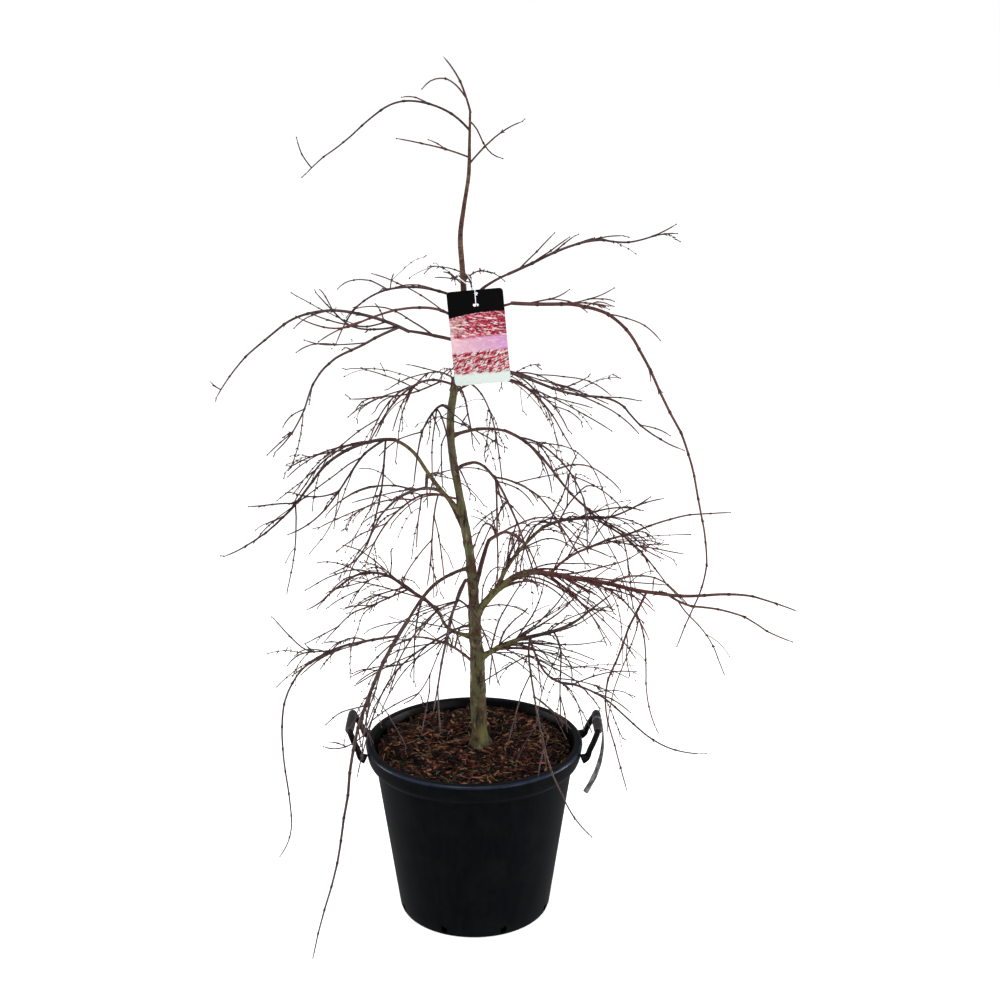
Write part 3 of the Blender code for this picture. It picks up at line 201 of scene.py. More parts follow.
# Sprays of twigs: the first limb of each is its stem, and the others fork from a limb of the spray.
SPRAYS = {
    "twigs_tip": (
        Limb("tip", "trunk", "end", 182, 0, 0.104, 0.0019, (74, 66, 50)),
        Limb("tip_side", "tip", 0.14, 196, 0, 0.096, 0.0013, (58, 38, -6, -52)),
    ),
    "twigs_top_left": (
        Limb("top_whip", "trunk", 1.506, 176, 8, 0.345, 0.0021, (46, 24, 2, -38, -46, -32, -42)),
        Limb("top_whip_end", "top_whip", 0.96, 180, 0, 0.058, 0.0012, (52, 76)),
    ),
    "twigs_top_low": (Limb("top_low", "trunk", 1.460, 188, 0, 0.130, 0.0015, (20, 12, 6)),),
    "twigs_top_right": (
        Limb("top_right", "trunk", 1.448, 6, 0, 0.120, 0.0016, (50, 44, 18)),
    ),
    "twigs_top_drop": (Limb("top_drop", "trunk", 1.522, 345, 0, 0.088, 0.0013, (-40, -72, -50, -8)),),
    "twigs_right_top": (
        Limb("crest_right", "bough_right_top", "end", 2, -6, 0.315, 0.0026, (27, 28, 16, -8, 14, 30)),
        Limb("crest_right_a", "crest_right", 0.06, 18, 0, 0.090, 0.0014, (46, 40)),
        Limb("crest_right_b", "crest_right", 0.14, 348, 0, 0.084, 0.0014, (40, 32)),
        Limb("crest_right_c", "crest_right", 0.28, 16, 0, 0.048, 0.0013, (44, 30)),
    ),
    "twigs_right_long": (
        Limb("long_right", "bough_right_upper", "end", 4, -14, 0.880, 0.0032,
             (-2, 4, -30, -60, -64, -64, -76, -76, -92, -110, -112)),
        Limb("long_right_a", "long_right", 0.03, 8, 0, 0.080, 0.0015, (14, 8, 36)),
        Limb("long_right_b", "long_right", 0.10, 350, 0, 0.100, 0.0014, (0, 16, 36)),
    ),
    "twigs_right_upper": (
        Limb("upper_right", "trunk", 1.083, 350, 10, 0.450, 0.0028,
             (12, -8, -22, -20, 0, -48, -38, -16)),
        Limb("upper_right_a", "upper_right", 0.24, 336, 0, 0.090, 0.0014, (-24, -44, -6)),
        Limb("upper_right_b", "upper_right", 0.42, 10, 0, 0.060, 0.0013, (8, 28)),
    ),
    "twigs_right_arch": (
        Limb("arch_right", "bough_right_arch", "end", 8, -8, 0.490, 0.0028,
             (-22, -46, -54, -46, -34, -44, -52, -50)),
        Limb("arch_right_a", "arch_right", 0.05, 330, 0, 0.230, 0.0017, (0, -30, -62, -78)),
        Limb("arch_right_b", "arch_right", 0.25, 40, 0, 0.200, 0.0016, (10, -25, -50)),
        Limb("arch_right_c", "arch_right", 0.50, 340, 0, 0.150, 0.0014, (-20, -35, -20)),
    ),
    "twigs_right_rising": (
        Limb("rising", "bough_right_rising", "end", 8, 0, 0.215, 0.0028, (22, 4, 2, 22, 40)),
        Limb("rising_a", "rising", 0.06, 30, 0, 0.100, 0.0015, (72, 50, 80)),
        Limb("rising_b", "rising", 0.30, 350, 0, 0.130, 0.0015, (30, 10, -15)),
        Limb("rising_c", "rising", 0.15, 60, 0, 0.160, 0.0016, (35, 15, -20)),
    ),
    "twigs_right_main": (
        Limb("main_right", "bough_right_main", "end", 352, 4, 0.495, 0.0044, (-8, -4, -12, -4, 8, -12, -18)),
        Limb("main_right_low", "main_right", 0.50, 344, 0, 0.245, 0.0020, (-34, -2, -14, -28, -16)),
        Limb("main_right_high", "main_right", 0.05, 20, 0, 0.390, 0.0022, (50, 18, 12, 14, 0, -4)),
        Limb("main_right_mid", "main_right_high", 0.32, 0, 0, 0.150, 0.0014, (-4, -14, -8)),
        Limb("main_right_drop", "main_right", 0.42, 338, 0, 0.448, 0.0020,
             (-112, -116, -112, -114, -96, -72, -66, -62)),
        Limb("main_right_drop_b", "main_right_drop", 0.12, 352, 0, 0.240, 0.0015, (-65, -84, -88, -68)),
        Limb("main_right_front", "main_right", 0.20, 312, 0, 0.175, 0.0018, (5, -15, -40, -60)),
        Limb("main_right_back", "main_right", 0.28, 40, 0, 0.250, 0.0018, (6, -14, -38, -50)),
    ),
    "twigs_right_low": (
        Limb("low_right", "bough_right_low", "end", 350, 0, 0.200, 0.0036, (18, 20, 44, 42)),
        Limb("low_right_whip", "low_right", 0.08, 325, 18, 0.410, 0.0020,
             (-70, -60, 6, -12, -38, -38, -12, 4)),
        Limb("low_right_drop", "low_right", 0.32, 345, 0, 0.180, 0.0016, (-55, -95, -88, -88)),
        Limb("low_right_front", "low_right", 0.12, 254, 84, 0.455, 0.0019, (12, -16, -52, -66, -58, -34)),
    ),
    "twigs_right_inner": (
        Limb("inner_right", "trunk", 1.035, 10, -8, 0.300, 0.0022, (46, 10, -24, -46, -58, -64)),
        Limb("inner_right_a", "inner_right", 0.20, 332, 0, 0.200, 0.0015, (10, -25, -60)),
        Limb("inner_right_b", "inner_right", 0.30, 40, 0, 0.180, 0.0015, (15, -20, -50)),
        Limb("inner_right_c", "inner_right", 0.12, 296, 0, 0.220, 0.0015, (0, -35, -70, -76)),
    ),
    "twigs_left_crest": (
        Limb("crest_left", "trunk", 1.205, 170, 12, 0.285, 0.0024, (32, 14, 0, -12, -32, -56, -64)),
        Limb("crest_left_a", "crest_left", 0.35, 140, 0, 0.100, 0.0013, (-4, -28)),
    ),
    "twigs_left_high": (
        Limb("high_left", "trunk", 1.165, 195, -10, 0.310, 0.0024, (40, 22, -4, -14, -20, 10, 26)),
        Limb("high_left_a", "high_left", 0.62, 205, 0, 0.090, 0.0012, (-10, -35)),
    ),
    "twigs_left_upper": (
        Limb("upper_left", "bough_left_top", "end", 178, 6, 0.424, 0.0030,
             (28, 16, 4, -14, -40, -42, -50, -58)),
        Limb("upper_left_hook", "upper_left", 0.96, 182, 0, 0.028, 0.0011, (30, 50)),
        Limb("upper_left_b", "upper_left", 0.04, 194, 0, 0.335, 0.0024,
             (-20, -26, -16, -56, -70, -58, -42)),
        Limb("upper_left_c", "upper_left_b", 0.20, 186, 0, 0.110, 0.0013, (-8, -4, 22)),
        Limb("upper_left_d", "upper_left", 0.05, 168, 0, 0.175, 0.0018, (-14, 4, 44, 50)),
        Limb("upper_left_e", "upper_left", 0.10, 154, 0, 0.165, 0.0015, (-18, 2, 20)),
    ),
    "twigs_left_mid": (
        Limb("mid_left", "trunk", 1.050, 200, 0, 0.215, 0.0022, (25, 8, -28, -48, -58, -58)),
        Limb("mid_left_a", "mid_left", 0.14, 170, 0, 0.175, 0.0016, (-25, -20, -6, -14, -4)),
        Limb("mid_left_b", "mid_left", 0.35, 235, 0, 0.160, 0.0015, (10, -30, -60)),
    ),
    "twigs_left_arch": (
        Limb("arch_left", "bough_left_arch", "end", 184, 4, 0.398, 0.0030,
             (10, -16, -34, -52, -54, -38, -34, -16)),
        Limb("arch_left_low", "arch_left", 0.05, 200, 0, 0.250, 0.0020, (-28, -44, -60, -54, -36, -16)),
        Limb("arch_left_whip", "arch_left", 0.04, 204, 0, 0.290, 0.0017, (-84, -84, -78, -76, -64, -34, -18)),
        Limb("arch_left_back", "arch_left", 0.10, 150, 0, 0.240, 0.0018, (-4, -30, -50, -60)),
        Limb("arch_left_e", "arch_left", 0.58, 188, 0, 0.085, 0.0014, (6, -6, -2)),
        Limb("arch_left_f", "arch_left_low", 0.50, 188, 0, 0.090, 0.0014, (-24, 4, 24)),
    ),
    "twigs_left_inner": (
        Limb("inner_left", "trunk", 0.835, 215, -15, 0.255, 0.0020, (15, 20, -20, -44, -56, -74)),
        Limb("inner_left_a", "inner_left", 0.20, 250, 0, 0.170, 0.0015, (-35, -80, -78, -60)),
        Limb("inner_left_b", "inner_left", 0.40, 195, 0, 0.130, 0.0014, (10, -15, -40)),
    ),
    "twigs_left_low": (
        Limb("low_left", "bough_left_main", "end", 208, 40, 0.655, 0.0034,
             (-50, -58, -72, -80, -74, -60, -54)),
        Limb("low_left_outer", "low_left", 0.05, 176, 0, 0.605, 0.0022,
             (-8, -13, -35, -74, -90, -98, -93, -58)),
        Limb("low_left_up", "low_left_outer", 0.20, 180, 0, 0.140, 0.0013, (-12, -2, 38, 54, 56)),
        Limb("low_left_b", "low_left_outer", 0.10, 128, 0, 0.150, 0.0015, (0, -25, -50)),
    ),
    "twigs_left_fan": (
        Limb("fan_left", "bough_left_hook", "end", 182, -6, 0.310, 0.0032,
             (55, 36, 40, 4, -34, -46, -24)),
        Limb("fan_left_a", "fan_left", 0.26, 168, 0, 0.210, 0.0018, (-25, -28, -28, -46, -52)),
        Limb("fan_left_b", "fan_left", 0.28, 200, 0, 0.105, 0.0014, (-4, -26)),
        Limb("fan_left_c", "fan_left", 0.20, 130, 0, 0.250, 0.0017, (20, -5, -35, -55)),
    ),
    "twigs_left_skirt": (
        Limb("skirt_left", "trunk", 0.588, 208, -8, 0.400, 0.0026,
             (-8, -15, -20, -30, -50, -72, -60, -20, 28)),
        Limb("skirt_left_a", "skirt_left", 0.14, 236, 0, 0.180, 0.0016, (-44, -46, 8)),
        Limb("skirt_left_b", "skirt_left", 0.10, 196, 0, 0.215, 0.0016, (-40, -32, -4, -36)),
    ),
    "twigs_back_low": (
        Limb("back_low", "bough_back_low", "end", 70, -10, 0.330, 0.0032, (0, -12, -30, -52, -62)),
        Limb("back_low_a", "back_low", 0.12, 100, 14, 0.330, 0.0019, (12, -15, -50, -62)),
        Limb("back_low_b", "back_low", 0.20, 40, 0, 0.280, 0.0018, (20, -5, -40, -55)),
        Limb("back_low_c", "back_low", 0.45, 95, 0, 0.180, 0.0015, (0, -40, -70)),
    ),
    "twigs_back_mid": (
        Limb("back_mid", "bough_back_mid", "end", 122, 12, 0.330, 0.0030, (-5, -25, -48, -60)),
        Limb("back_mid_a", "back_mid", 0.12, 92, 0, 0.280, 0.0018, (15, -10, -40, -62)),
        Limb("back_mid_b", "back_mid", 0.25, 150, 0, 0.240, 0.0017, (10, -20, -50)),
    ),
    "twigs_back_upper": (
        Limb("back_upper", "bough_back_upper", "end", 86, -8, 0.330, 0.0024, (-12, -25, -50, -62)),
        Limb("back_upper_a", "back_upper", 0.12, 60, 0, 0.240, 0.0016, (10, -10, -45)),
        Limb("back_upper_b", "back_upper", 0.15, 118, 0, 0.250, 0.0016, (5, -20, -50)),
    ),
    "twigs_back_top": (
        Limb("back_top", "trunk", 1.210, 87, 0, 0.250, 0.0021, (30, 10, -18, -40)),
        Limb("back_top_a", "back_top", 0.30, 70, 0, 0.150, 0.0014, (10, -15)),
    ),
    "twigs_back_skirt": (
        Limb("back_skirt", "trunk", 0.500, 122, 0, 0.330, 0.0026, (15, -5, -20, -30)),
        Limb("back_skirt_a", "back_skirt", 0.25, 85, 0, 0.220, 0.0017, (15, -10, -20)),
    ),
    "twigs_front_low": (
        Limb("front_low", "bough_front_low", "end", 258, -8, 0.260, 0.0028, (-12, -35, -55, -62)),
        Limb("front_low_a", "front_low", 0.15, 290, 0, 0.230, 0.0017, (10, -20, -55)),
        Limb("front_low_b", "front_low", 0.18, 232, 0, 0.220, 0.0017, (5, -30, -60)),
    ),
    "twigs_front_mid": (
        Limb("front_mid", "bough_front_mid", "end", 304, 4, 0.260, 0.0024, (-15, -45, -60, -66)),
        Limb("front_mid_a", "front_mid", 0.12, 330, 0, 0.240, 0.0016, (5, -30, -55, -50)),
        Limb("front_mid_b", "front_mid", 0.15, 272, 0, 0.230, 0.0016, (0, -40, -70)),
    ),
    "twigs_front_high": (
        Limb("front_high", "trunk", 1.005, 248, 0, 0.240, 0.0022, (35, 5, -35, -62, -70)),
        Limb("front_high_a", "front_high", 0.30, 285, 0, 0.160, 0.0015, (0, -40, -70)),
    ),
}

# Hang tag in front of the trunk, and the elastic that holds it
TAG_SIZE = (0.101, 0.171)
TAG_THICK = 0.0007
TAG_MIDDLE = (0.012, -0.030, 1.146)
TAG_TILT = 5.0
TAG_CORNER = 0.007
TAG_SLOT = (0.010, 0.005)
TAG_SLOT_CORNER = 0.0022
TAG_SLOT_DOWN = 0.027
STEM_AT_TAG_X = -0.0165
ELASTIC_R = 0.0009
ELASTIC_TOP = 1.252

# Paper strip round the grip of the right handle
STRIP_WIDTH = 0.010
STRIP_THICK = 0.0005
STRIP_TAIL = 0.150
STRIP_CURL = 0.034
STRIP_STEPS = 12

# Camera of the photograph, and the stage
CAMERA_PLACE = (0.050, -3.0, 1.722)
CAMERA_DOWN = 16.5
CAMERA_LENS = 60.588
CAMERA_SENSOR = 36.0
FLOOR_HALF = 30.0
SURROUND_SEEN = 1.0
SURROUND_LIGHT = 0.55
SURROUND_GLOSS = 0.22
FLOOR_GLOW = 0.62
LAMPS = (
    ("key", (-0.9, -1.8, 4.0), (0.0, 0.0, 0.5), 1.4, 60.0),
    ("fill", (2.1, -2.6, 0.7), (0.0, 0.0, 0.5), 1.0, 26.0),
    ("left rim", (-2.8, 0.3, 0.6), (0.0, 0.0, 0.25), 1.2, 40.0),
    ("right rim", (2.8, 0.3, 0.6), (0.0, 0.0, 0.25), 1.2, 54.0),
    ("sky", (0.0, -1.2, 4.4), (0.0, 0.0, 0.4), 2.4, 18.0),
)

# Pot and handles in full: fineness, rounding, the band of painted highlight on the rim's outer edge, arms and
# grips
POT_ROUND_SIDES = 192
POT_SHARP = 40
FOOT_CURVE = FOOT_ROUND * 0.7
RIM_ROUND = 0.006
COLLAR_COVE = 0.018
COLLAR_POWER = 0.7
# The rim's outer rounding gets a painted highlight: its heights, the reach where it starts, the reach where
# it ends
RIM_HIGHLIGHT_HEIGHT = (POT_HEIGHT - 0.0065, POT_HEIGHT - 0.0030)
RIM_HIGHLIGHT_REACH = (COLLAR_R - 0.0060, COLLAR_R - 0.0025)
RIM_HIGHLIGHT_END = (COLLAR_R + 0.0005, COLLAR_R + 0.0015)
ARM_RINGS = 40
ARM_SIDES = 20
ARM_HALF_WIDE = 0.0082
ARM_HALF_THICK = 0.0048
ARM_SQUARE = 0.55
ARM_FLARE = 0.16
GRIP_RINGS = 42
GRIP_SIDES = 28
GRIP_SHORT = 0.003
GRIP_DOME = 14
GRIP_WAIST = 0.05

# Mulch in full: the bed, its crumbs as height, size and seed, and the chips' cross-section
BED_RINGS = 90
BED_SIDES = 260
BED_CRUMBS = ((0.0022, 0.009, 1), (0.0012, 0.004, 2))
MULCH_R = 0.1868
CHIP_REACH = 0.1895
CHIP_TOP = 0.3485
CHIP_SECTIONS = 5
CHIP_CORNERS = ((1, -0.7), (0.75, 1), (-0.75, 1), (-1, -0.7))
CHIP_TILT = 0.20
CHIP_ROLL = 0.5
CHIP_BEND = 0.05
FIBRE_BEND = 0.13
FIBRE_WIDTH = 0.003
CHIP_CLEAR_OF_TRUNK = 0.024

# Chips: name, colour, colour of the fibres, count, and ranges of length, width, thickness and height
# over the bed
CHIP_KINDS = (
    ("brown_chips", (74, 38, 25), (40, 21, 15), 1100,
     (0.007, 0.030), (0.003, 0.009), (0.0010, 0.0026), (0.0, 0.005)),
    ("red_chips", (112, 52, 36), (62, 28, 20), 520,
     (0.007, 0.028), (0.0025, 0.008), (0.0010, 0.0024), (0.001, 0.006)),
    ("tan_chips", (178, 124, 90), (120, 78, 54), 220,
     (0.007, 0.024), (0.002, 0.006), (0.0008, 0.0020), (0.002, 0.007)),
    ("grey_chips", (96, 80, 70), (54, 43, 38), 240,
     (0.006, 0.024), (0.0025, 0.007), (0.0008, 0.0022), (0.001, 0.006)),
    ("black_chips", (18, 12, 11), (9, 6, 6), 1200,
     (0.006, 0.026), (0.0025, 0.009), (0.0010, 0.0026), (0.0, 0.006)),
    ("straw_fibres", (184, 156, 104), (126, 100, 62), 340,
     (0.008, 0.028), (0.0005, 0.0012), (0.0005, 0.0010), (0.002, 0.008)),
    ("dark_fibres", (50, 28, 22), (27, 15, 13), 900,
     (0.008, 0.034), (0.0008, 0.0018), (0.0006, 0.0014), (0.002, 0.007)),
)

# Card, loop and strip
TAG_CORNER_STEPS = 7
TAG_RINGS = 26
TAG_BOW = 0.0016
ELASTIC_SIDES = 10
ELASTIC_KNOT = 0.0009
KNOT_RINGS = 60
STRIP_RINGS = 90
STRIP_COLUMNS = 7
STRIP_WRAP = 0.27
STRIP_TWIST = 62.0

# Bark: fineness, shares of the radius that its relief takes, and the trunk's root flare
TRUNK_FINE_RINGS = 460
TRUNK_FINE_SIDES = 56
BOUGH_FINE_SIDES = 24
BOUGH_RING_EVERY = 0.0022
BAND_SHARE = 0.030
GRAIN_SHARE = 0.030
SWELL_SHARE = 0.10
FISSURE_SHARE = 0.12
FISSURE_WIDTH = 0.16
ROOT_FADE_HEIGHT = 0.020
ROOT_TURN = 0.4

# Trunk's knots as height over the foot, bearing and size in radii, the rise of a knot's ring and the
# depth of its core, and the place of a pale patch of lichen
TRUNK_KNOTS = (
    (0.020, 250, 0.5), (0.222, 262, 0.7), (0.345, 300, 0.55),
    (0.120, 30, 0.6), (0.415, 200, 0.6), (0.560, 110, 0.7),
)
KNOT_RISE = 0.0016
KNOT_DEPTH = 0.0014
LICHEN_PLACE = (0.021, -0.016, 0.366)

# Boughs: share kept of what the girth gains from the tip to the foot, girth, and those that are mossy
BOUGH_SLIM_ELSE = 0.75
BOUGH_SLIM = {"bough_left_main": 0.30, "bough_back_low": 0.6, "bough_front_low": 0.6}
BOUGH_GIRTH = {"bough_left_main": 0.86}
BOUGH_FLARE = 0.45
BOUGH_JOINT = (0.10, 0.0025)
MOSSY_BOUGHS = (
    "bough_right_rising", "bough_right_low", "bough_left_hook", "bough_left_arch", "bough_right_main",
)

# Twigs: rings and sides, girth against the solids', and the swelling at joints
TWIG_FINE_SIDES = 6
TWIG_RING_EVERY = 0.009
TWIG_THICKER = 1.18
TWIG_LEAST_R = 0.00125
SPRAY_GIRTH = {"twigs_left_skirt": 0.86}
TWIG_SUNK = 0.004
JOINT_RINGS = (-0.0036, -0.0014, 0.0, 0.0014, 0.0036)
JOINT_CLEAR = 0.0055
JOINT_HALF = 0.0022
JOINT_SWELL = 0.22
JOINT_RISE = 0.0003

# Forks: spread in degrees, rise at the start, droop along the length, and points of a line
Fork = namedtuple("Fork", "spread rise droop points")
FORKS = Fork((22, 58), (-0.1, 0.4), (0.3, 1.6), 10)
FINER_FORKS = Fork((22, 50), (0.0, 0.2), (0.2, 0.9), 6)
SPURS = Fork((18, 42), (0.0, 0.1), (0.0, 0.1), 4)

# Forks leave at the joints. Chance and length are given outside the heart of the crown and in it.
FORK_SIDES = 4
FORK_FOOT_R = 0.00150
FORK_TIP_R = 0.00100
FORK_FOOT_SHARE = 0.72
FORK_TIP_SHARE = 0.8
FORK_CHANCE = (0.02, 0.30)
FORK_LENGTH = (0.018, 0.130)
FORK_PART = (0.35, 1.0)
FORK_PHASE = 40
FORK_ONWARD = 0.4
FORK_BEND = 1.3
FORK_DRIFT = 0.05
FORK_CLEAR = 0.0022
FINER_CHANCE = 0.08
FINER_FROM = 0.035
FINER_LENGTH = (0.012, 0.40)
SPUR_LENGTH = 0.012
SPUR_CHANCE = 0.26

# Companions: long twigs that run on beside a limb
COMPANION_POINTS = 15
COMPANION_R = 0.0020
COMPANION_LENGTH = (0.05, 0.26)
COMPANION_PAST = 0.02
COMPANION_ASIDE = (0.15, 1.0)
COMPANION_SAG = (0.0, 1.3)
COMPANION_BEND = 1.4
COMPANION_RISE = (-0.15, 0.35)
COMPANION_DRIFT = 0.045
COMPANION_START = (0.10, 0.80)
COMPANION_NEAR_START = (0.02, 0.36)
NEAR_MASSES = ("twigs_right_main", "twigs_right_low", "twigs_right_rising")
PATH_LEAST = 0.09

# Most companions for one metre of a stem that grows on from a bough, of another named limb, and of a
# side twig; then companions for one metre and the share of the forks, by mass and in any other
PATH_COMPANIONS = (99.0, 5.0, 2.5)
CARRIED_ON = {
    "twigs_right_main": (44.0, 1.2), "twigs_right_low": (60.0, 1.2), "twigs_right_inner": (3.0, 0.6),
    "twigs_right_rising": (20.0, 1.0), "twigs_right_arch": (4.0, 0.8), "twigs_right_upper": (0.0, 0.1),
    "twigs_right_long": (0.2, 0.4), "twigs_right_top": (0.8, 0.2), "twigs_left_high": (1.0, 0.2),
    "twigs_left_crest": (1.0, 0.2), "twigs_left_upper": (2.0, 0.5), "twigs_left_mid": (4.0, 0.8),
    "twigs_left_arch": (5.0, 0.6), "twigs_left_inner": (4.5, 1.0), "twigs_left_low": (8.0, 0.9),
    "twigs_left_fan": (7.0, 0.9), "twigs_left_skirt": (0.0, 0.1), "twigs_top_left": (0.0, 0.0),
    "twigs_top_low": (0.0, 0.0), "twigs_top_right": (0.0, 0.0), "twigs_top_drop": (0.0, 0.0),
    "twigs_tip": (0.0, 0.0),
}
CARRIED_ON_ELSE = (2.5, 0.8)

# Share of the side twigs that are left off, by mass
OPEN_MASSES = {"twigs_right_upper": 0.45, "twigs_left_upper": 0.2}

# Lowest place of what is added, and room left inside the box of the solids round tubes, added twigs
# and buds
ADDED_FLOOR = 0.372
TUBE_MARGIN = 0.0002
TUBE_LEAST_R = 0.0003
ADDED_MARGIN = 0.002
BUD_MARGIN = 0.0016

# Buds: shape as shares of length and of radius, ranges of length, radius, and spread of side buds
BUD_SHAPE = ((0.0, 0.35, 0.75, 1.0), (0.7, 1.0, 0.6, 0.15))
TIP_BUD_LENGTH = (0.0024, 0.0042)
TIP_BUD_R = 0.0014
SIDE_BUD_LENGTH = (0.0022, 0.0036)
SIDE_BUD_R = 0.0011
SIDE_BUD_SPREAD = 0.6
LONG_BUD_CHANCE = 0.22
LONG_BUD = 2.2

# Twig tints dealt out by spray: name, colour and the colour of its patches
TWIG_TINTS = (
    ("twig maroon", (64, 34, 36), (84, 50, 44)),
    ("twig dark wine", (52, 28, 32), (70, 40, 40)),
    ("twig red brown", (84, 44, 38), (66, 36, 34)),
    ("twig grey brown", (70, 48, 46), (52, 32, 34)),
)

# Lines


def unit(vectors):
    return vectors / np.linalg.norm(vectors, axis=-1, keepdims=True)


def directions(lines):
    """Unit direction of each line at each of its points."""
    steps = unit(np.diff(lines, axis=-2))
    inner = steps[..., :-1, :] + steps[..., 1:, :]
    return unit(np.concatenate([steps[..., :1, :], inner, steps[..., -1:, :]], axis=-2))


def along_line(line):
    """How far along the line each of its points lies."""
    return np.concatenate([[0], np.cumsum(np.linalg.norm(np.diff(line, axis=0), axis=1))])


def at_places(wanted, along, line):
    """Points of the line at the wanted places, straight between its own."""
    return np.stack([np.interp(wanted, along, line[:, axis]) for axis in range(3)], axis=-1)


def cubic(values, along, wanted):
    """Values at the wanted places, on a smooth cubic curve through those given along."""
    slopes = np.gradient(values, along, axis=0)
    place = np.clip(np.searchsorted(along, wanted, side="right") - 1, 0, len(along) - 2)
    span = (along[place + 1] - along[place])[:, None]
    t = (wanted - along[place])[:, None] / span
    return (
        (2 * t**3 - 3 * t**2 + 1) * values[place]
        + (t**3 - 2 * t**2 + t) * span * slopes[place]
        + (3 * t**2 - 2 * t**3) * values[place + 1]
        + (t**3 - t**2) * span * slopes[place + 1]
    )


def smooth_line(line, radii, wanted):
    """The line and its radii at the wanted distances along it, on a cubic curve through its points."""
    along = along_line(line)
    curve = cubic(np.c_[line, radii], along, np.clip(wanted, 0, along[-1]))
    return curve[:, :3], curve[:, 3]


def heart_share(reach, height):
    """1 in the heart of the crown, falling evenly to 0 where the long whips run out bare."""
    near = (HEART_REACH[1] - reach) / (HEART_REACH[1] - HEART_REACH[0])
    below = (HEART_HEIGHT[1] - height) / (HEART_HEIGHT[1] - HEART_HEIGHT[0])
    above = (height - HEART_FLOOR[0]) / (HEART_FLOOR[1] - HEART_FLOOR[0])
    return np.clip(near, 0, 1) * np.clip(np.minimum(below, above), 0, 1)


# Skeleton of the crown


def wall_radius(height):
    """Outside radius of the pot's wall at a height."""
    return FOOT_R + (WALL_R - FOOT_R) * height / (POT_HEIGHT - COLLAR_DEPTH)


def handle_line(side):
    """Middle line of a handle: up its front arm from the collar, along the grip, and down its back arm."""
    foot = COLLAR_R - 0.004
    out = COLLAR_R + HANDLE_OUT
    up = POT_HEIGHT + HANDLE_UP
    half = [
        (foot, HANDLE_HALF + LUG_SPREAD, POT_HEIGHT - LUG_DOWN),
        (COLLAR_R + 0.006, HANDLE_HALF + 0.007, POT_HEIGHT - 0.012),
        (COLLAR_R + 0.012, HANDLE_HALF + 0.005, POT_HEIGHT + 0.002),
        (COLLAR_R + 0.021, HANDLE_HALF + 0.001, POT_HEIGHT + 0.021),
        (out - 0.001, HANDLE_HALF - 0.006, up - 0.002),
        (out, HANDLE_HALF - 0.018, up + 0.001),
        (out + 0.001, 0.014, up + 0.002),
    ]
    front = [(x, -y, z) for x, y, z in half]
    return [(side * x, y, z) for x, y, z in front + half[::-1]]


def handle_radii():
    half = [LUG_R, LUG_R - 0.001, ARM_R, ARM_R, GRIP_R - 0.0005, GRIP_R, GRIP_R]
    return half + half[::-1]


def trunk_line():
    """Points and radii of the trunk at even heights, read from a smooth curve through its stations."""
    stations = np.array(TRUNK_STATIONS)
    heights = stations[:, 0]
    wanted = np.linspace(0, 1, TRUNK_RINGS) ** 1.15 * heights[-1]
    wanted[1] = heights[1]
    curve = cubic(stations[:, 1:], heights, wanted)
    return np.c_[curve[:, :2], wanted + (MULCH_TOP + GAP)], curve[:, 2]


def limb_line(limb, start, rng):
    """Sums a limb's direction along its length, and gives its points a fine step apart.

    The pitch runs evenly through the limb's pitches, the bearing turns evenly, and both kink a
    little at each joint.
    """
    joints = max(2, round(limb.length / (KEEP * STEP)))
    count = joints * KEEP
    t = (np.arange(count) + 0.5) / count
    drawn = [[rng.uniform(-KINK, KINK), rng.uniform(-KINK, KINK)] for _ in range(joints)]
    kinks = np.repeat(drawn, KEEP, axis=0)
    stations = np.linspace(0, 1, len(limb.pitches))
    pitch = np.radians(np.interp(t, stations, limb.pitches) + kinks[:, 0])
    bearing = np.radians(limb.bearing + limb.turn * t + kinks[:, 1])
    step = np.c_[np.cos(pitch) * np.cos(bearing), np.cos(pitch) * np.sin(bearing), np.sin(pitch)]
    return np.vstack([start, start + np.cumsum(step * limb.length / count, axis=0)])


def limb_radii(foot, tip, count):
    return tip + (foot - tip) * (1 - np.linspace(0, 1, count)) ** TAPER


def thickened(line, radii, finest=0.003):
    """The line's points and radii, with more points between them, none further apart than `finest`."""
    line = np.asarray(line, float)
    along = along_line(line)
    places = np.linspace(0, along[-1], max(2, int(along[-1] / finest) + 2))
    return at_places(places, along, line), np.interp(places, along, radii)


Grown = namedtuple("Grown", "node line radii parent")
ALL_LIMBS = {limb.name: limb for limbs in (BOUGHS, *SPRAYS.values()) for limb in limbs}


class Crown:
    """Every limb grown so far, and the room that each node holds."""

    def __init__(self):
        self.limbs = {}
        self.points = np.zeros((0, 3))
        self.radii = np.zeros(0)
        self.nodes = np.zeros(0, int)
        self.numbers = {}

    def hold(self, node, line, radii, buried=0.0):
        points, around = thickened(line, radii)
        bare = np.linalg.norm(points - points[0], axis=1) >= buried
        number = self.numbers.setdefault(node, len(self.numbers))
        self.points = np.vstack([self.points, points[bare]])
        self.radii = np.concatenate([self.radii, around[bare]])
        self.nodes = np.concatenate([self.nodes, np.full(bare.sum(), number)])

    def is_clear(self, node, line, radii, parent_node, buried):
        """Whether a limb keeps clear of every other node, and stays above the ground.

        Its foot, buried in its parent, is passed over, and its parent is passed over round its elbow.
        """
        points, around = thickened(line, radii)
        if points[:, 2].min() < LEAST_ROOM:
            return False
        far = np.linalg.norm(points - points[0], axis=1)
        elbow = ELBOW + 2.6 * buried
        for name, number in self.numbers.items():
            if name == node:
                continue
            mine = far >= (elbow if name == parent_node else buried)
            other = self.nodes == number
            gaps = np.linalg.norm(points[mine, None] - self.points[None, other], axis=2)
            gaps -= around[mine, None] + self.radii[None, other]
            if gaps.size and gaps.min() < CLEAR:
                return False
        return True

    def add(self, name, node, line, radii, parent, buried=0.0):
        self.limbs[name] = Grown(node, line, radii, parent)
        self.hold(node, line, radii, buried)


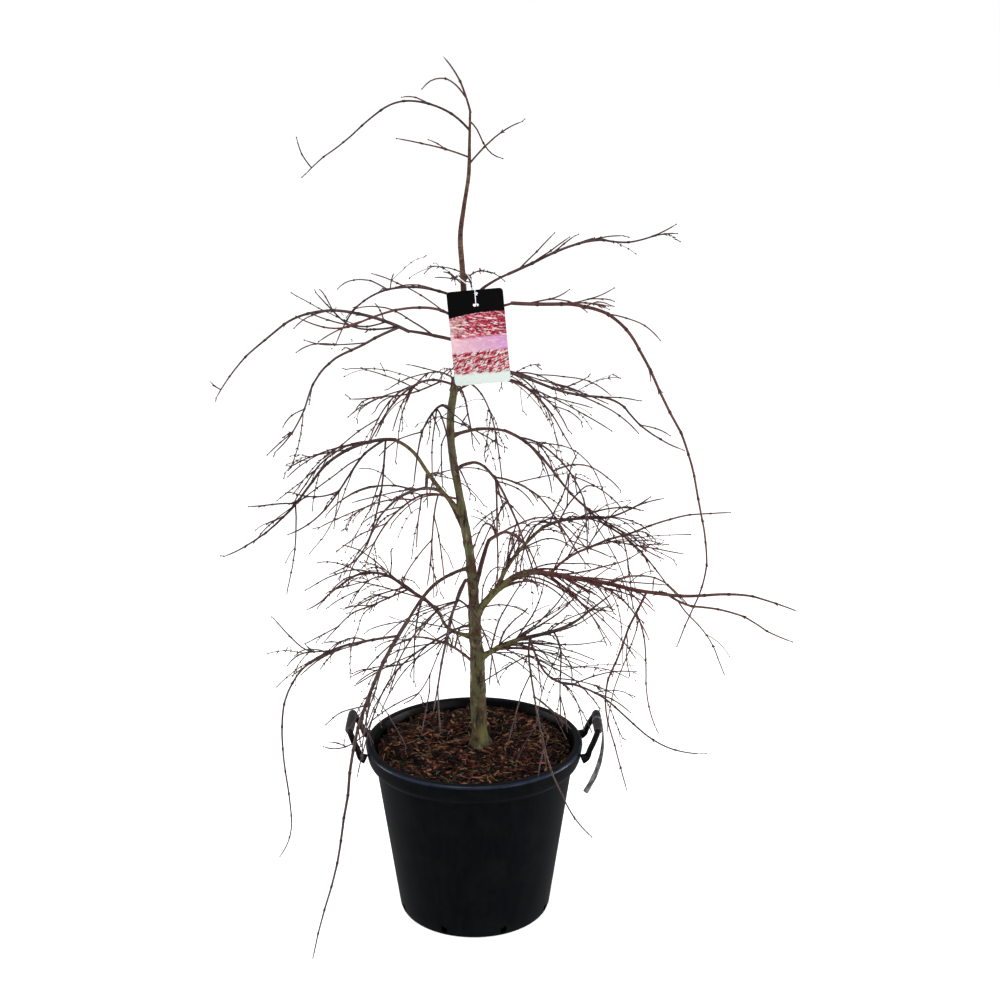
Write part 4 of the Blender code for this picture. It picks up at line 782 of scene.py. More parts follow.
def foot_of(crown, limb):
    """Where a limb starts on the middle of its parent's solid, and how deep that is buried in it."""
    parent = crown.limbs[limb.parent]
    if limb.at == "end":
        return parent.line[-1] + directions(parent.line)[-1] * GAP, 0.0
    if limb.parent == "trunk":
        line, radii = parent.line, parent.radii
        place, along = limb.at, line[:, 2]
    else:
        line, radii = parent.line[::KEEP], parent.radii[::KEEP]
        along = along_line(line)
        least = LEAST_ROOM + (0.012 if parent.parent == "trunk" else 0.0)
        place = max(limb.at * along[-1], least)
    return at_places(place, along, line), np.interp(place, along, radii)


def grow(crown, limb, node, tip):
    """Grows one named limb, turned aside by the few degrees that keep it clear of other nodes."""
    if limb.parent not in crown.limbs:
        return
    start, buried = foot_of(crown, limb)
    parent_node = crown.limbs[limb.parent].node
    for aside in TURNS_ASIDE:
        line = limb_line(limb._replace(bearing=limb.bearing + aside), start, random.Random(limb.name))
        radii = limb_radii(limb.radius, tip, len(line))
        if crown.is_clear(node, line, radii, parent_node, buried):
            crown.add(limb.name, node, line, radii, limb.parent, buried)
            return


def side_twig(line, k, side, heart, rng):
    """A short twig from point k of a limb, to one side of it, that rises and then droops."""
    ahead = directions(line)[k]
    bearing = math.degrees(math.atan2(ahead[1], ahead[0])) + side * rng.uniform(*TWIG_SPREAD)
    pitch = math.degrees(math.asin(ahead[2])) * 0.6 + rng.uniform(*TWIG_RISE)
    length = rng.uniform(*TWIG_LENGTH) * (1.15 - 0.6 * k / len(line))
    length *= TWIG_OUTER_LENGTH + (1 - TWIG_OUTER_LENGTH) * heart
    droop = rng.uniform(*TWIG_DROOP)
    pitches = (pitch, pitch - droop / 3, pitch - droop)
    return Limb("side", "", 0, bearing, rng.uniform(*TWIG_TURN), length, TWIG_FOOT_R, pitches)


def grow_side_twigs(crown, node, names):
    """At the joints of each limb of a spray, twigs leave to one side or the other, by a seeded draw."""
    for name in names:
        if name not in crown.limbs:
            continue
        _, line, radii, _ = crown.limbs[name]
        rng = random.Random(f"{name} {SEED}")
        for k in range(KEEP, len(line) - 1, KEEP):
            side = rng.choice((-1, 1))
            heart = heart_share(math.hypot(line[k, 0], line[k, 1]), line[k, 2])
            chance = TWIG_CHANCE[0] + (TWIG_CHANCE[1] - TWIG_CHANCE[0]) * heart
            twig = side_twig(line, k, side, heart, rng)
            if rng.random() > chance or np.linalg.norm(line[k] - line[0]) < TWIG_BARE:
                continue
            twig_line = limb_line(twig, line[k], rng)
            twig_radii = limb_radii(min(TWIG_FOOT_R, 0.8 * radii[k]), TWIG_TIP_R, len(twig_line))
            if crown.is_clear(node, twig_line, twig_radii, node, radii[k]):
                crown.add(f"{name} side {k}", node, twig_line, twig_radii, name)


def hold_made_things(crown):
    """Keeps limbs clear of the pot, the mulch, the handles and the tag."""
    count = 120
    turns = np.linspace(0, math.tau, count)
    level = np.c_[np.cos(turns), np.sin(turns), np.zeros(count)]
    rings = [("pot", COLLAR_R - inside, POT_HEIGHT - down, 0.008)
             for inside, down in ((0.006, 0.006), (0.006, 0.020), (0.010, 0.034))]
    rings += [("pot", wall_radius(height) - 0.008, height, 0.010)
              for height in np.arange(0.0, POT_HEIGHT - COLLAR_DEPTH, 0.012)]
    rings += [("mulch", share * MOUTH_R, MULCH_TOP - 0.006, 0.012) for share in np.arange(0.08, 1.0, 0.08)]
    for name, radius, height, thick in rings:
        crown.hold(name, level * radius + (0, 0, height), np.full(count, thick))
    for side, name in ((-1, "handle_left"), (1, "handle_right")):
        crown.hold(name, handle_line(side), np.array(handle_radii()) + 0.002)
    strip = strip_line()[::3]
    crown.hold("handle_strip", strip, np.full(len(strip), 0.006))
    for across in np.linspace(-0.5, 0.5, 12):
        ends = [TAG_MIDDLE + tag_place(across * TAG_SIZE[0], up * TAG_SIZE[1]) for up in (-0.5, 0.5)]
        crown.hold("tag", np.array(ends), np.full(2, 0.007))
    loop = closed_curve(elastic_route(), 3)
    crown.hold("tag_elastic", loop, np.full(len(loop), 0.002))


def tag_place(across, up):
    """Offset from the tag's middle of a point on its card, turned by the tag's tilt."""
    cos, sin = math.cos(math.radians(TAG_TILT)), math.sin(math.radians(TAG_TILT))
    return np.array([across * cos - up * sin, 0, across * sin + up * cos])


def elastic_route():
    """Closed loop of the elastic: through the tag's slot, up both faces of the card, round the trunk."""
    slot = np.array(TAG_MIDDLE) + tag_place(0.0, TAG_SIZE[1] / 2 - TAG_SLOT_DOWN)
    top = np.array(TAG_MIDDLE) + tag_place(0.0, TAG_SIZE[1] / 2)
    stem_x = STEM_AT_TAG_X
    return np.array(
        [
            slot + (0, 0.0, 0),
            slot + (0, -0.0024, 0.004),
            top + (0.001, -0.0030, -0.004),
            top + (0.000, 0.0010, 0.008),
            (stem_x + 0.012, -0.009, ELASTIC_TOP - 0.002),
            (stem_x + 0.0074, 0.002, ELASTIC_TOP + 0.002),
            (stem_x, 0.0072, ELASTIC_TOP + 0.003),
            (stem_x - 0.0074, 0.002, ELASTIC_TOP + 0.002),
            (stem_x - 0.006, -0.009, ELASTIC_TOP - 0.003),
            top + (-0.008, 0.0100, 0.004),
            top + (-0.002, 0.0040, -0.006),
            slot + (0, 0.0026, 0.004),
        ]
    )


def closed_curve(route, between):
    """A smooth closed curve through the route's points, with `between` steps from each to the next."""
    count = len(route)
    points = []
    for k in range(count):
        before, here, after, last = (route[(k + j) % count] for j in (-1, 0, 1, 2))
        for step in range(between):
            t = step / between
            points.append(
                0.5
                * (
                    2 * here
                    + (after - before) * t
                    + (2 * before - 5 * here + 4 * after - last) * t**2
                    + (3 * here - before - 3 * after + last) * t**3
                )
            )
    return np.array(points)


def strip_line():
    """The strip's middle line in the XZ plane: round the grip, then down and in under the collar."""
    centre = np.array([COLLAR_R + HANDLE_OUT + 0.001, 0.0, POT_HEIGHT + HANDLE_UP + 0.002])
    around = GRIP_R + GAP + STRIP_THICK / 2 + 0.0002
    points = []
    for degrees in range(300, -1, -20):
        angle = math.radians(degrees)
        points.append(centre + around * np.array([math.cos(angle), 0, math.sin(angle)]))
    end = points[-1]
    for k in range(1, STRIP_STEPS + 1):
        t = k / STRIP_STEPS
        inward = STRIP_CURL * t**2.2 - 0.006 * math.sin(2.6 * t)
        points.append(end + np.array([-inward, 0, -STRIP_TAIL * t]))
    return np.array(points)


def grown_crown():
    """Every limb of the solids, grown again in the same order with the same draws."""
    crown = Crown()
    hold_made_things(crown)
    line, radii = trunk_line()
    crown.add("trunk", "trunk", line, radii, None)
    for limb in BOUGHS:
        grow(crown, limb, limb.name, BOUGH_TIP_SHARE * limb.radius)
    for node, limbs in SPRAYS.items():
        grow(crown, limbs[0], node, TIP_R)
    for node, limbs in SPRAYS.items():
        for limb in limbs[1:]:
            grow(crown, limb, node, TIP_R)
    for node, limbs in SPRAYS.items():
        grow_side_twigs(crown, node, [limb.name for limb in limbs])
    return crown


# Surfaces from arrays


def lattice(cells, seed):
    """A value from 0 to 1 for each whole-number cell: what is left after the point of a large sine."""
    value = 43758.5453 * np.sin(cells @ np.array([127.1, 311.7, 74.7]) + 19.19 * seed)
    return value - np.floor(value)


def lumps(points, size, seed):
    """Smooth noise from -1 to 1: the values at the corners of a point's cell, blended by smooth steps."""
    scaled = np.asarray(points) / size
    cell = np.floor(scaled)
    share = scaled - cell
    share = share * share * (3 - 2 * share)
    total = np.zeros(scaled.shape[:-1])
    for corner in itertools.product((0, 1), repeat=3):
        total += np.prod(np.where(corner, share, 1 - share), axis=-1) * lattice(cell + corner, seed)
    return 2 * total - 1


def grid_faces(rows, columns, close_rows=False, close_columns=False):
    """Quads between neighbouring points of a grid, which may close on itself either way."""
    row = np.arange(rows if close_rows else rows - 1)[:, None]
    column = np.arange(columns if close_columns else columns - 1)[None]
    after_row, after_column = (row + 1) % rows, (column + 1) % columns
    corners = (row * columns + column, row * columns + after_column,
               after_row * columns + after_column, after_row * columns + column)
    return np.stack([corner.ravel() for corner in np.broadcast_arrays(*corners)], axis=1)


def fan_faces(centre, ring, outward=True):
    """Triangles from a centre point to a closed ring of points."""
    after = np.roll(ring, -1)
    pair = (ring, after) if outward else (after, ring)
    return np.stack([np.full(len(ring), centre), *pair], axis=1)


class Surfaces:
    """Points, faces, tints and marks of surfaces that become one piece."""

    def __init__(self):
        self.points = []
        self.faces = []
        self.tints = []
        self.marks = []
        self.maps = []
        self.count = 0

    def add(self, points, *faces, tint=0, mark=0.0, uv=None):
        points = np.asarray(points, float).reshape(-1, 3)
        for some in faces:
            self.faces.append(np.asarray(some) + self.count)
            self.tints.append(np.broadcast_to(tint, len(some)))
        self.points.append(points)
        self.marks.append(np.broadcast_to(mark, len(points)))
        self.maps.append(np.zeros((len(points), 2)) if uv is None else np.asarray(uv).reshape(-1, 2))
        self.count += len(points)


def placed(name, data):
    """A new object of the data, in the scene."""
    made = bpy.data.objects.new(name, data)
    scene.collection.objects.link(made)
    return made


def make_piece(name, made, finishes, stands_for=(), sharp=None):
    """One object from the surfaces, with its finishes, riding on the body in place of the nodes named."""
    mesh = bpy.data.meshes.new(name)
    points = np.concatenate(made.points)
    corners = np.concatenate([faces.ravel() for faces in made.faces])
    sizes = np.concatenate([np.full(len(faces), faces.shape[1]) for faces in made.faces])
    mesh.vertices.add(len(points))
    mesh.vertices.foreach_set("co", points.astype(np.float32).ravel())
    mesh.loops.add(len(corners))
    mesh.loops.foreach_set("vertex_index", corners.astype(np.int32))
    mesh.polygons.add(len(sizes))
    mesh.polygons.foreach_set("loop_start", (np.cumsum(sizes) - sizes).astype(np.int32))
    mesh.polygons.foreach_set("material_index", np.concatenate(made.tints).astype(np.int32))
    mesh.update(calc_edges=True)
    mark = mesh.attributes.new("mark", "FLOAT", "POINT")
    mark.data.foreach_set("value", np.concatenate(made.marks).astype(np.float32))
    place = mesh.uv_layers.new(name="place")
    place.data.foreach_set("uv", np.concatenate(made.maps)[corners].astype(np.float32).ravel())
    for finish in finishes:
        mesh.materials.append(finish)
    mesh.shade_smooth()
    if sharp:
        mesh.set_sharp_from_angle(angle=math.radians(sharp))
    piece = placed(name, mesh)
    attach(piece, "root")
    if stands_for:
        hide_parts(*stands_for)
    return piece


def frames(lines):
    """Directions ahead, across and beside at each point of each line.

    Across starts as the direction that the whole line least runs along, the last singular vector of
    its own directions, and is squared to the line at each point.
    """
    ahead = directions(lines)
    least = np.linalg.svd(unit(np.diff(lines, axis=1)))[2][:, -1]
    across = unit(least[:, None] - ahead * (ahead @ least[:, :, None]))
    return ahead, across, np.cross(ahead, across)


def rings_round(across, beside, sides):
    """Directions out to the points of a ring, at each point of a line."""
    angle = math.tau * np.arange(sides) / sides
    return across[..., None, :] * np.cos(angle)[:, None] + beside[..., None, :] * np.sin(angle)[:, None]


def tube_faces(rings, sides, inward=False):
    """Faces of rings of points, and of the fans that close them on the two points after them."""
    ring = np.arange(sides)
    quads = grid_faces(rings, sides, close_columns=True)
    return (quads[:, ::-1] if inward else quads,
            fan_faces(rings * sides, ring, outward=inward),
            fan_faces(rings * sides + 1, ring + (rings - 1) * sides, outward=not inward))


def add_tubes(made, lines, radii, sides, scale=1.0, tint=0, mark=0.0):
    """Tubes round many lines of one length at once: rings square to each line, and a low dome at each end.

    lines is tubes x rings x 3, radii tubes x rings, and scale and mark may differ at each ring point.
    """
    lines, radii = np.asarray(lines, float), np.asarray(radii, float)
    tubes, rings = radii.shape
    if not tubes:
        return
    ahead, across, beside = frames(lines)
    skin = lines[:, :, None] + rings_round(across, beside, sides) * (radii[:, :, None] * scale)[..., None]
    starts = lines[:, 0] - ahead[:, 0] * radii[:, :1] * 0.5
    ends = lines[:, -1] + ahead[:, -1] * radii[:, -1:] * 0.5
    points = np.concatenate([skin.reshape(tubes, -1, 3), starts[:, None], ends[:, None]], axis=1)
    quads, *caps = tube_faces(rings, sides)
    shift = (np.arange(tubes) * points.shape[1])[:, None, None]
    marks = np.broadcast_to(mark, skin.shape[:-1]).reshape(tubes, -1)
    marks = np.concatenate([marks, marks[:, :2] * 0], axis=1).ravel()
    made.add(points, (quads[None] + shift).reshape(-1, 4),
             (np.concatenate(caps)[None] + shift).reshape(-1, 3), tint=tint, mark=marks)


# Nodes of the finishes


def put(tree, kind, inputs=None, **settings):
    """A new node with its settings, and its inputs set to values or joined to other nodes' outputs."""
    made = tree.nodes.new(kind)
    for name, value in settings.items():
        setattr(made, name, value)
    for name, value in (inputs or {}).items():
        if isinstance(value, bpy.types.NodeSocket):
            tree.links.new(value, made.inputs[name])
        else:
            made.inputs[name].default_value = value
    return made


def tone(red, green, blue):
    """A colour from its screen values of 0 to 255, made linear."""
    parts = np.array([red, green, blue]) / 255
    linear = np.where(parts <= 0.04045, parts / 12.92, ((parts + 0.055) / 1.055) ** 2.4)
    return (*map(float, linear), 1.0)


def new_group(name, inputs, outputs):
    """An empty shader group with its sockets, each given as name: (kind, default)."""
    group = bpy.data.node_groups.new(name, "ShaderNodeTree")
    for title, (kind, value) in inputs.items():
        socket = group.interface.new_socket(title, in_out="INPUT", socket_type=kind)
        if value is not None:
            socket.default_value = value
    for title, kind in outputs.items():
        group.interface.new_socket(title, in_out="OUTPUT", socket_type=kind)
    return group, group.nodes.new("NodeGroupInput"), group.nodes.new("NodeGroupOutput")


COLOUR, NUMBER, ARROW = "NodeSocketColor", "NodeSocketFloat", "NodeSocketVector"


def mixed(tree, share, first, second, blend="MIX"):
    """The colour socket of two colours mixed by a share."""
    made = put(tree, "ShaderNodeMix", {0: share, 6: first, 7: second}, data_type="RGBA", blend_type=blend)
    return made.outputs[2]


def counted(tree, operation, *values):
    """The number socket of a sum on one to three numbers."""
    made = put(tree, "ShaderNodeMath", dict(enumerate(values)), operation=operation)
    return made.outputs[0]


def ranged(tree, value, low, high, to_low=0.0, to_high=1.0):
    """A value brought from one range to another in a smooth step."""
    inputs = {"Value": value, "From Min": low, "From Max": high, "To Min": to_low, "To Max": to_high}
    return put(tree, "ShaderNodeMapRange", inputs, interpolation_type="SMOOTHSTEP").outputs["Result"]


def noise(tree, place, size, detail=4.0, rough=0.6):
    """A noise value with lumps of a size in metres."""
    scale = counted(tree, "DIVIDE", 1.0, size) if isinstance(size, bpy.types.NodeSocket) else 1.0 / size
    inputs = {"Vector": place, "Scale": scale, "Detail": detail, "Roughness": rough}
    return put(tree, "ShaderNodeTexNoise", inputs).outputs["Fac"]


def stretched(tree, place, scale):
    """The place with each axis scaled, so that a pattern runs along the ones scaled down."""
    return put(tree, "ShaderNodeMapping", {"Vector": place, "Scale": scale}).outputs["Vector"]


def object_place(tree):
    return put(tree, "ShaderNodeTexCoord").outputs["Object"]


def patches_group():
    """Shared group: soft patches of a second colour on a first, with a mask of where they are."""
    group, given, result = new_group(
        "patches",
        {"Place": (ARROW, None), "Colour": (COLOUR, (1, 1, 1, 1)), "Patch Colour": (COLOUR, (0, 0, 0, 1)),
         "Size": (NUMBER, 0.01), "Cover": (NUMBER, 0.5), "Edge": (NUMBER, 0.06)},
        {"Colour": COLOUR, "Mask": NUMBER},
    )
    give = given.outputs
    spread = noise(group, give["Place"], give["Size"])
    # The noise lies mostly from 0.3 to 0.7, so a cover from 0 to 1 moves its threshold over that range.
    middle = counted(group, "MULTIPLY_ADD", give["Cover"], -0.5, 0.75)
    low = counted(group, "SUBTRACT", middle, give["Edge"])
    high = counted(group, "ADD", middle, give["Edge"])
    mask = ranged(group, spread, low, high)
    group.links.new(mixed(group, mask, give["Colour"], give["Patch Colour"]), result.inputs["Colour"])
    group.links.new(mask, result.inputs["Mask"])
    return group


def grain_group():
    """Shared group: a fine grain, coarse lumps under it, as one height from 0 to 1."""
    group, given, result = new_group(
        "grain",
        {"Place": (ARROW, None), "Size": (NUMBER, 0.001), "Coarse Share": (NUMBER, 0.4)},
        {"Height": NUMBER},
    )
    give = given.outputs
    fine = noise(group, give["Place"], give["Size"], detail=3.0)
    coarse = noise(group, give["Place"], counted(group, "MULTIPLY", give["Size"], 6.0), detail=2.0)
    both = put(group, "ShaderNodeMix", {0: give["Coarse Share"], 2: fine, 3: coarse}, data_type="FLOAT")
    group.links.new(both.outputs[0], result.inputs["Height"])
    return group


def patched(tree, place, colour, patch_colour, size, cover, edge=0.06):
    """The shared patches placed in a material: their colour and mask."""
    inputs = {"Place": place, "Colour": colour, "Patch Colour": patch_colour, "Size": size, "Cover": cover,
              "Edge": edge}
    made = put(tree, "ShaderNodeGroup", inputs, node_tree=PATCHES)
    return made.outputs["Colour"], made.outputs["Mask"]


def grained(tree, place, size, coarse=0.4):
    """The shared grain placed in a material: its height."""
    inputs = {"Place": place, "Size": size, "Coarse Share": coarse}
    return put(tree, "ShaderNodeGroup", inputs, node_tree=GRAIN).outputs["Height"]


def new_finish(name, roughness, specular=0.5):
    """A material with its tree, shader and the object's own coordinates."""
    finish = bpy.data.materials.new(name)
    finish.use_nodes = True
    tree = finish.node_tree
    shader = tree.nodes["Principled BSDF"]
    shader.inputs["Roughness"].default_value = roughness
    shader.inputs["Specular IOR Level"].default_value = specular
    return finish, tree, shader, object_place(tree)


def raised(tree, shader, height, depth, strength=1.0):
    """Bump of a depth in metres from a height of 0 to 1."""
    bump = put(tree, "ShaderNodeBump", {"Height": height, "Distance": depth, "Strength": strength})
    tree.links.new(bump.outputs["Normal"], shader.inputs["Normal"])


def paint(tree, shader, colour):
    tree.links.new(colour, shader.inputs["Base Color"])


def inverse(tree, share):
    """What is left of 1."""
    return counted(tree, "SUBTRACT", 1.0, share)


def mark_of(tree):
    return put(tree, "ShaderNodeAttribute", attribute_name="mark").outputs["Fac"]


def map_of(tree):
    return put(tree, "ShaderNodeUVMap", uv_map="place").outputs["UV"]


def axes_of(tree, place):
    return put(tree, "ShaderNodeSeparateXYZ", {0: place}).outputs


def reach_of(tree, axes):
    """Distance from the upright axis."""
    squares = [counted(tree, "MULTIPLY", axes[axis], axes[axis]) for axis in ("X", "Y")]
    return counted(tree, "SQRT", counted(tree, "ADD", *squares))


PATCHES = patches_group()
GRAIN = grain_group()
Patch = namedtuple("Patch", "tint size cover scale edge", defaults=(1, 0.06))


def layered(tree, place, colour, *patches):
    """A colour with patches laid on it in turn; a scale of Z draws a pattern out or flattens it."""
    for patch in patches:
        spot = place if patch.scale == 1 else stretched(tree, place, (1, 1, patch.scale))
        colour, _ = patched(tree, spot, colour, tone(*patch.tint), patch.size, patch.cover, patch.edge)
    return colour


# Finishes

# Plain ones: roughness and specular share, colour, its patches, and size and depth of the grain
PLAIN = {
    "grip dark plastic": ((0.55, 0.30), (52, 49, 52), [Patch((30, 30, 33), 0.012, 0.4, edge=0.1)],
                          (0.0009, 0.0002)),
    "mulch earth": ((0.95, 0.2), (32, 18, 14),
                    [Patch((54, 30, 20), 0.006, 0.40), Patch((9, 6, 6), 0.004, 0.45)], (0.0016, 0.002)),
    "card back": ((0.4, 0.5), (226, 222, 222), [Patch((212, 205, 208), 0.03, 0.4)], None),
    "white elastic": ((0.6, 0.5), (222, 224, 232), [Patch((190, 194, 206), 0.004, 0.4)], (0.0004, 0.0002)),
    # The strip's paper is white; its grey colour, mottled darker, is painted shade
    "damp white paper": ((0.75, 0.3), (124, 124, 122), [Patch((80, 80, 79), 0.010, 0.5)], (0.0010, 0.0002)),
    "pale floor": ((0.9, 0.0), (250, 250, 250), [Patch((248, 248, 248), 0.5, 0.5, edge=0.2)], None),
}


def plain_finish(name):
    """A plain mottled material, grained where its row gives a grain."""
    surface, colour, patches, grain = PLAIN[name]
    finish, tree, shader, place = new_finish(name, *surface)
    paint(tree, shader, layered(tree, place, tone(*colour), *patches))
    if grain:
        size, depth = grain
        raised(tree, shader, grained(tree, place, size), depth)
    return finish


def bark_finish():
    """Grey-green bark with brown patches, cross bands and dark fissures, red-brown up the leader.

    The mark is 1 in a fissure or knot.
    """
    finish, tree, shader, place = new_finish("grey green bark", 0.82, 0.3)
    colour = layered(
        tree, place, tone(76, 73, 47),
        Patch((66, 42, 28), 0.024, 0.42), Patch((112, 110, 80), 0.009, 0.26, 0.3),
        Patch((46, 38, 28), 0.012, 0.16, 3.5), Patch((28, 23, 18), 0.009, 0.30, 0.22),
        Patch((104, 107, 54), 0.011, 0.13),
    )
    away = put(tree, "ShaderNodeVectorMath", {0: place, 1: LICHEN_PLACE}, operation="DISTANCE")
    away = counted(tree, "MULTIPLY_ADD", noise(tree, place, 0.006), 0.016, away.outputs["Value"])
    colour = mixed(tree, inverse(tree, ranged(tree, away, 0.016, 0.036)), colour, tone(98, 94, 56))
    wavy = counted(tree, "MULTIPLY_ADD", noise(tree, place, 0.05), 0.30, axes_of(tree, place)["Z"])
    young = layered(tree, place, tone(72, 44, 34), Patch((92, 72, 54), 0.018, 0.35),
                    Patch((44, 26, 24), 0.012, 0.35, 3.0))
    colour = mixed(tree, ranged(tree, wavy, 1.12, 1.36), colour, young)
    paint(tree, shader, mixed(tree, mark_of(tree), colour, tone(30, 22, 18)))
    raised(tree, shader, grained(tree, place, 0.0012), 0.0009)
    return finish


def young_bark_finish(name, moss_from, moss_to):
    """Bark of the boughs: mossy green from the trunk out to some reach, red-brown beyond."""
    finish, tree, shader, place = new_finish(name, 0.7, 0.35)
    red = layered(tree, place, tone(70, 42, 34), Patch((52, 28, 26), 0.012, 0.40))
    mossy = layered(tree, place, tone(88, 84, 44), Patch((60, 42, 28), 0.012, 0.42))
    edge = counted(tree, "MULTIPLY_ADD", noise(tree, place, 0.02), 0.10, reach_of(tree, axes_of(tree, place)))
    colour = mixed(tree, ranged(tree, edge, moss_from, moss_to), mossy, red)
    paint(tree, shader, mixed(tree, mark_of(tree), colour, tone(28, 18, 16)))
    raised(tree, shader, grained(tree, place, 0.0008), 0.0005)
    return finish


def twig_finish(name, colour, patch_colour):
    """Smooth maroon twig bark, darker at its swollen joints, where the mark is 1."""
    finish, tree, shader, place = new_finish(name, 0.5, 0.4)
    mottled = layered(tree, place, tone(*colour), Patch(patch_colour, 0.020, 0.4))
    paint(tree, shader, mixed(tree, mark_of(tree), mottled, tone(30, 18, 20)))
    raised(tree, shader, grained(tree, place, 0.0006), 0.0001)
    return finish


def pot_finish():
    """Blue-black moulded plastic with faint streaks and a film, and a bluish painted highlight along the
    rim's outer edge.
    """
    finish, tree, shader, place = new_finish("pot blue black plastic", 0.36, 0.12)
    axes = axes_of(tree, place)
    streaks = stretched(tree, place, (1, 1, 0.05))
    colour, streak = patched(tree, streaks, tone(2, 3, 6), tone(5, 7, 10), 0.010, 0.40, 0.20)
    colour, film = patched(tree, place, colour, tone(8, 11, 12), 0.050, 0.25, 0.20)
    reach = reach_of(tree, axes)
    edge = counted(tree, "MULTIPLY", ranged(tree, axes["Z"], *RIM_HIGHLIGHT_HEIGHT), ranged(tree, reach, *RIM_HIGHLIGHT_REACH))
    edge = counted(tree, "MULTIPLY", edge, inverse(tree, ranged(tree, reach, *RIM_HIGHLIGHT_END)))
    # Painted highlight: a bluish grey band, patchy by noise, on the rim's outer rounding, which is also made
    # smoother
    painted_highlight = counted(tree, "MULTIPLY", edge, ranged(tree, noise(tree, place, 0.05), 0.25, 0.60))
    paint(tree, shader, mixed(tree, painted_highlight, colour, tone(34, 41, 56)))
    rough = 0.34
    for mask, more in ((film, 0.12), (edge, -0.12), (streak, 0.06)):
        rough = counted(tree, "MULTIPLY_ADD", mask, more, rough)
    tree.links.new(rough, shader.inputs["Roughness"])
    raised(tree, shader, grained(tree, place, 0.0010, 0.2), 0.00008)
    return finish


def chip_finish(name, colour, fibre_colour):
    """A wood chip with fibres along it: the map runs along the chip and across it."""
    finish, tree, shader, _ = new_finish(name, 0.85, 0.25)
    fibres = stretched(tree, map_of(tree), (1.2, 16.0, 1.0))
    mottled, mask = patched(tree, fibres, tone(*colour), tone(*fibre_colour), 1.0, 0.45, 0.10)
    paint(tree, shader, mottled)
    raised(tree, shader, mask, 0.0004)
    return finish


# Card: turn and shift of each set of strokes, and for the upper and the lower field its colour and the
# sets laid on it, each with a colour and a cover
CARD_STROKES = ((38, 0.0), (-52, 3.0), (12, 7.0), (-20, 11.0))
CARD_FIELDS = (
    ((150, 34, 56), ((0, (200, 104, 124), 0.40), (1, (84, 10, 24), 0.44), (2, (218, 196, 196), 0.36))),
    ((202, 204, 200), ((2, (206, 140, 152), 0.46), (3, (156, 30, 50), 0.50), (1, (84, 10, 24), 0.40))),
)


def card_finish():
    """Glossy card: a black head, a rose field of strokes with a slanting pale band, and a pale foot."""
    finish, tree, shader, _ = new_finish("printed card", 0.34, 0.15)
    spread = map_of(tree)
    axes = axes_of(tree, spread)
    across, up = axes["X"], axes["Y"]
    square = stretched(tree, spread, (0.6, 1.0, 1.0))
    strokes = []
    for turn, shift in CARD_STROKES:
        inputs = {"Vector": square, "Rotation": (0, 0, math.radians(turn)), "Location": (shift, shift, 0)}
        leaning = put(tree, "ShaderNodeMapping", inputs).outputs["Vector"]
        strokes.append(stretched(tree, leaning, (13.0, 46.0, 1.0)))
    fields = []
    for tint, layers in CARD_FIELDS:
        colour = tone(*tint)
        for stroke, layer_tint, cover in layers:
            colour, _ = patched(tree, strokes[stroke], colour, tone(*layer_tint), 1.0, cover)
        fields.append(colour)
    upper, lower = fields
    blotch = noise(tree, stretched(tree, spread, (6.0, 11.0, 1.0)), 1.0)
    left = inverse(tree, ranged(tree, counted(tree, "ADD", across, blotch), 0.45, 0.75))
    upper = mixed(tree, counted(tree, "MULTIPLY", left, 0.6), upper, tone(206, 196, 190))
    slant = counted(tree, "MULTIPLY_ADD", across, -0.015, up)
    colour = mixed(tree, inverse(tree, ranged(tree, slant, 0.32, 0.45)), upper, lower)
    from_band = counted(tree, "ABSOLUTE", counted(tree, "SUBTRACT", slant, 0.42))
    band = counted(tree, "MULTIPLY", inverse(tree, ranged(tree, from_band, 0.055, 0.095)), 0.80)
    colour = mixed(tree, band, colour, mixed(tree, across, tone(212, 176, 186), tone(190, 142, 186)))
    over_foot = counted(tree, "SUBTRACT", up, counted(tree, "MULTIPLY_ADD", blotch, 0.10, 0.06))
    colour = mixed(tree, inverse(tree, ranged(tree, over_foot, -0.01, 0.03)), colour, tone(196, 206, 201))
    bow = counted(tree, "MULTIPLY", across, inverse(tree, across))
    head_edge = counted(tree, "MULTIPLY_ADD", across, 0.04, counted(tree, "MULTIPLY_ADD", bow, 0.10, 0.715))
    paint(tree, shader, mixed(tree, counted(tree, "GREATER_THAN", up, head_edge), colour, tone(2, 3, 2)))
    return finish


def floor_finish():
    """Matt white sweep, lit from within a little so that it meets the surround with no edge."""
    finish = plain_finish("pale floor")
    shader = finish.node_tree.nodes["Principled BSDF"]
    shader.inputs["Emission Color"].default_value = (1, 1, 1, 1)
    shader.inputs["Emission Strength"].default_value = FLOOR_GLOW
    return finish


def surround():
    """White where the camera looks, softer as light, and dim in reflections, as in a dark studio."""
    world = bpy.data.worlds.new("white surround")
    world.use_nodes = True
    tree = world.node_tree
    rays = put(tree, "ShaderNodeLightPath").outputs
    strength = SURROUND_LIGHT
    for ray, there in (("Is Glossy Ray", SURROUND_GLOSS), ("Is Camera Ray", SURROUND_SEEN)):
        inputs = {0: rays[ray], 2: strength, 3: there}
        strength = put(tree, "ShaderNodeMix", inputs, data_type="FLOAT").outputs[0]
    tree.nodes["Background"].inputs["Color"].default_value = (1, 1, 1, 1)
    tree.links.new(strength, tree.nodes["Background"].inputs["Strength"])
    return world


# Pot and handles


def arc(centre, radius, start, end, count):
    """Points of an arc in the plane of a profile, from one angle to another in degrees."""
    angle = np.radians(np.linspace(start, end, count))
    return np.c_[centre[0] + radius * np.cos(angle), centre[1] + radius * np.sin(angle)]


def rounded_corners(width, tall, radius, steps):
    """Outline of a rectangle with round corners, counter-clockwise, as (across, up)."""
    return np.concatenate([
        arc((x * (width / 2 - radius), y * (tall / 2 - radius)), radius, 90 * turn, 90 * turn + 90, steps)
        for turn, (x, y) in enumerate(((1, 1), (-1, 1), (-1, -1), (1, -1)))
    ])


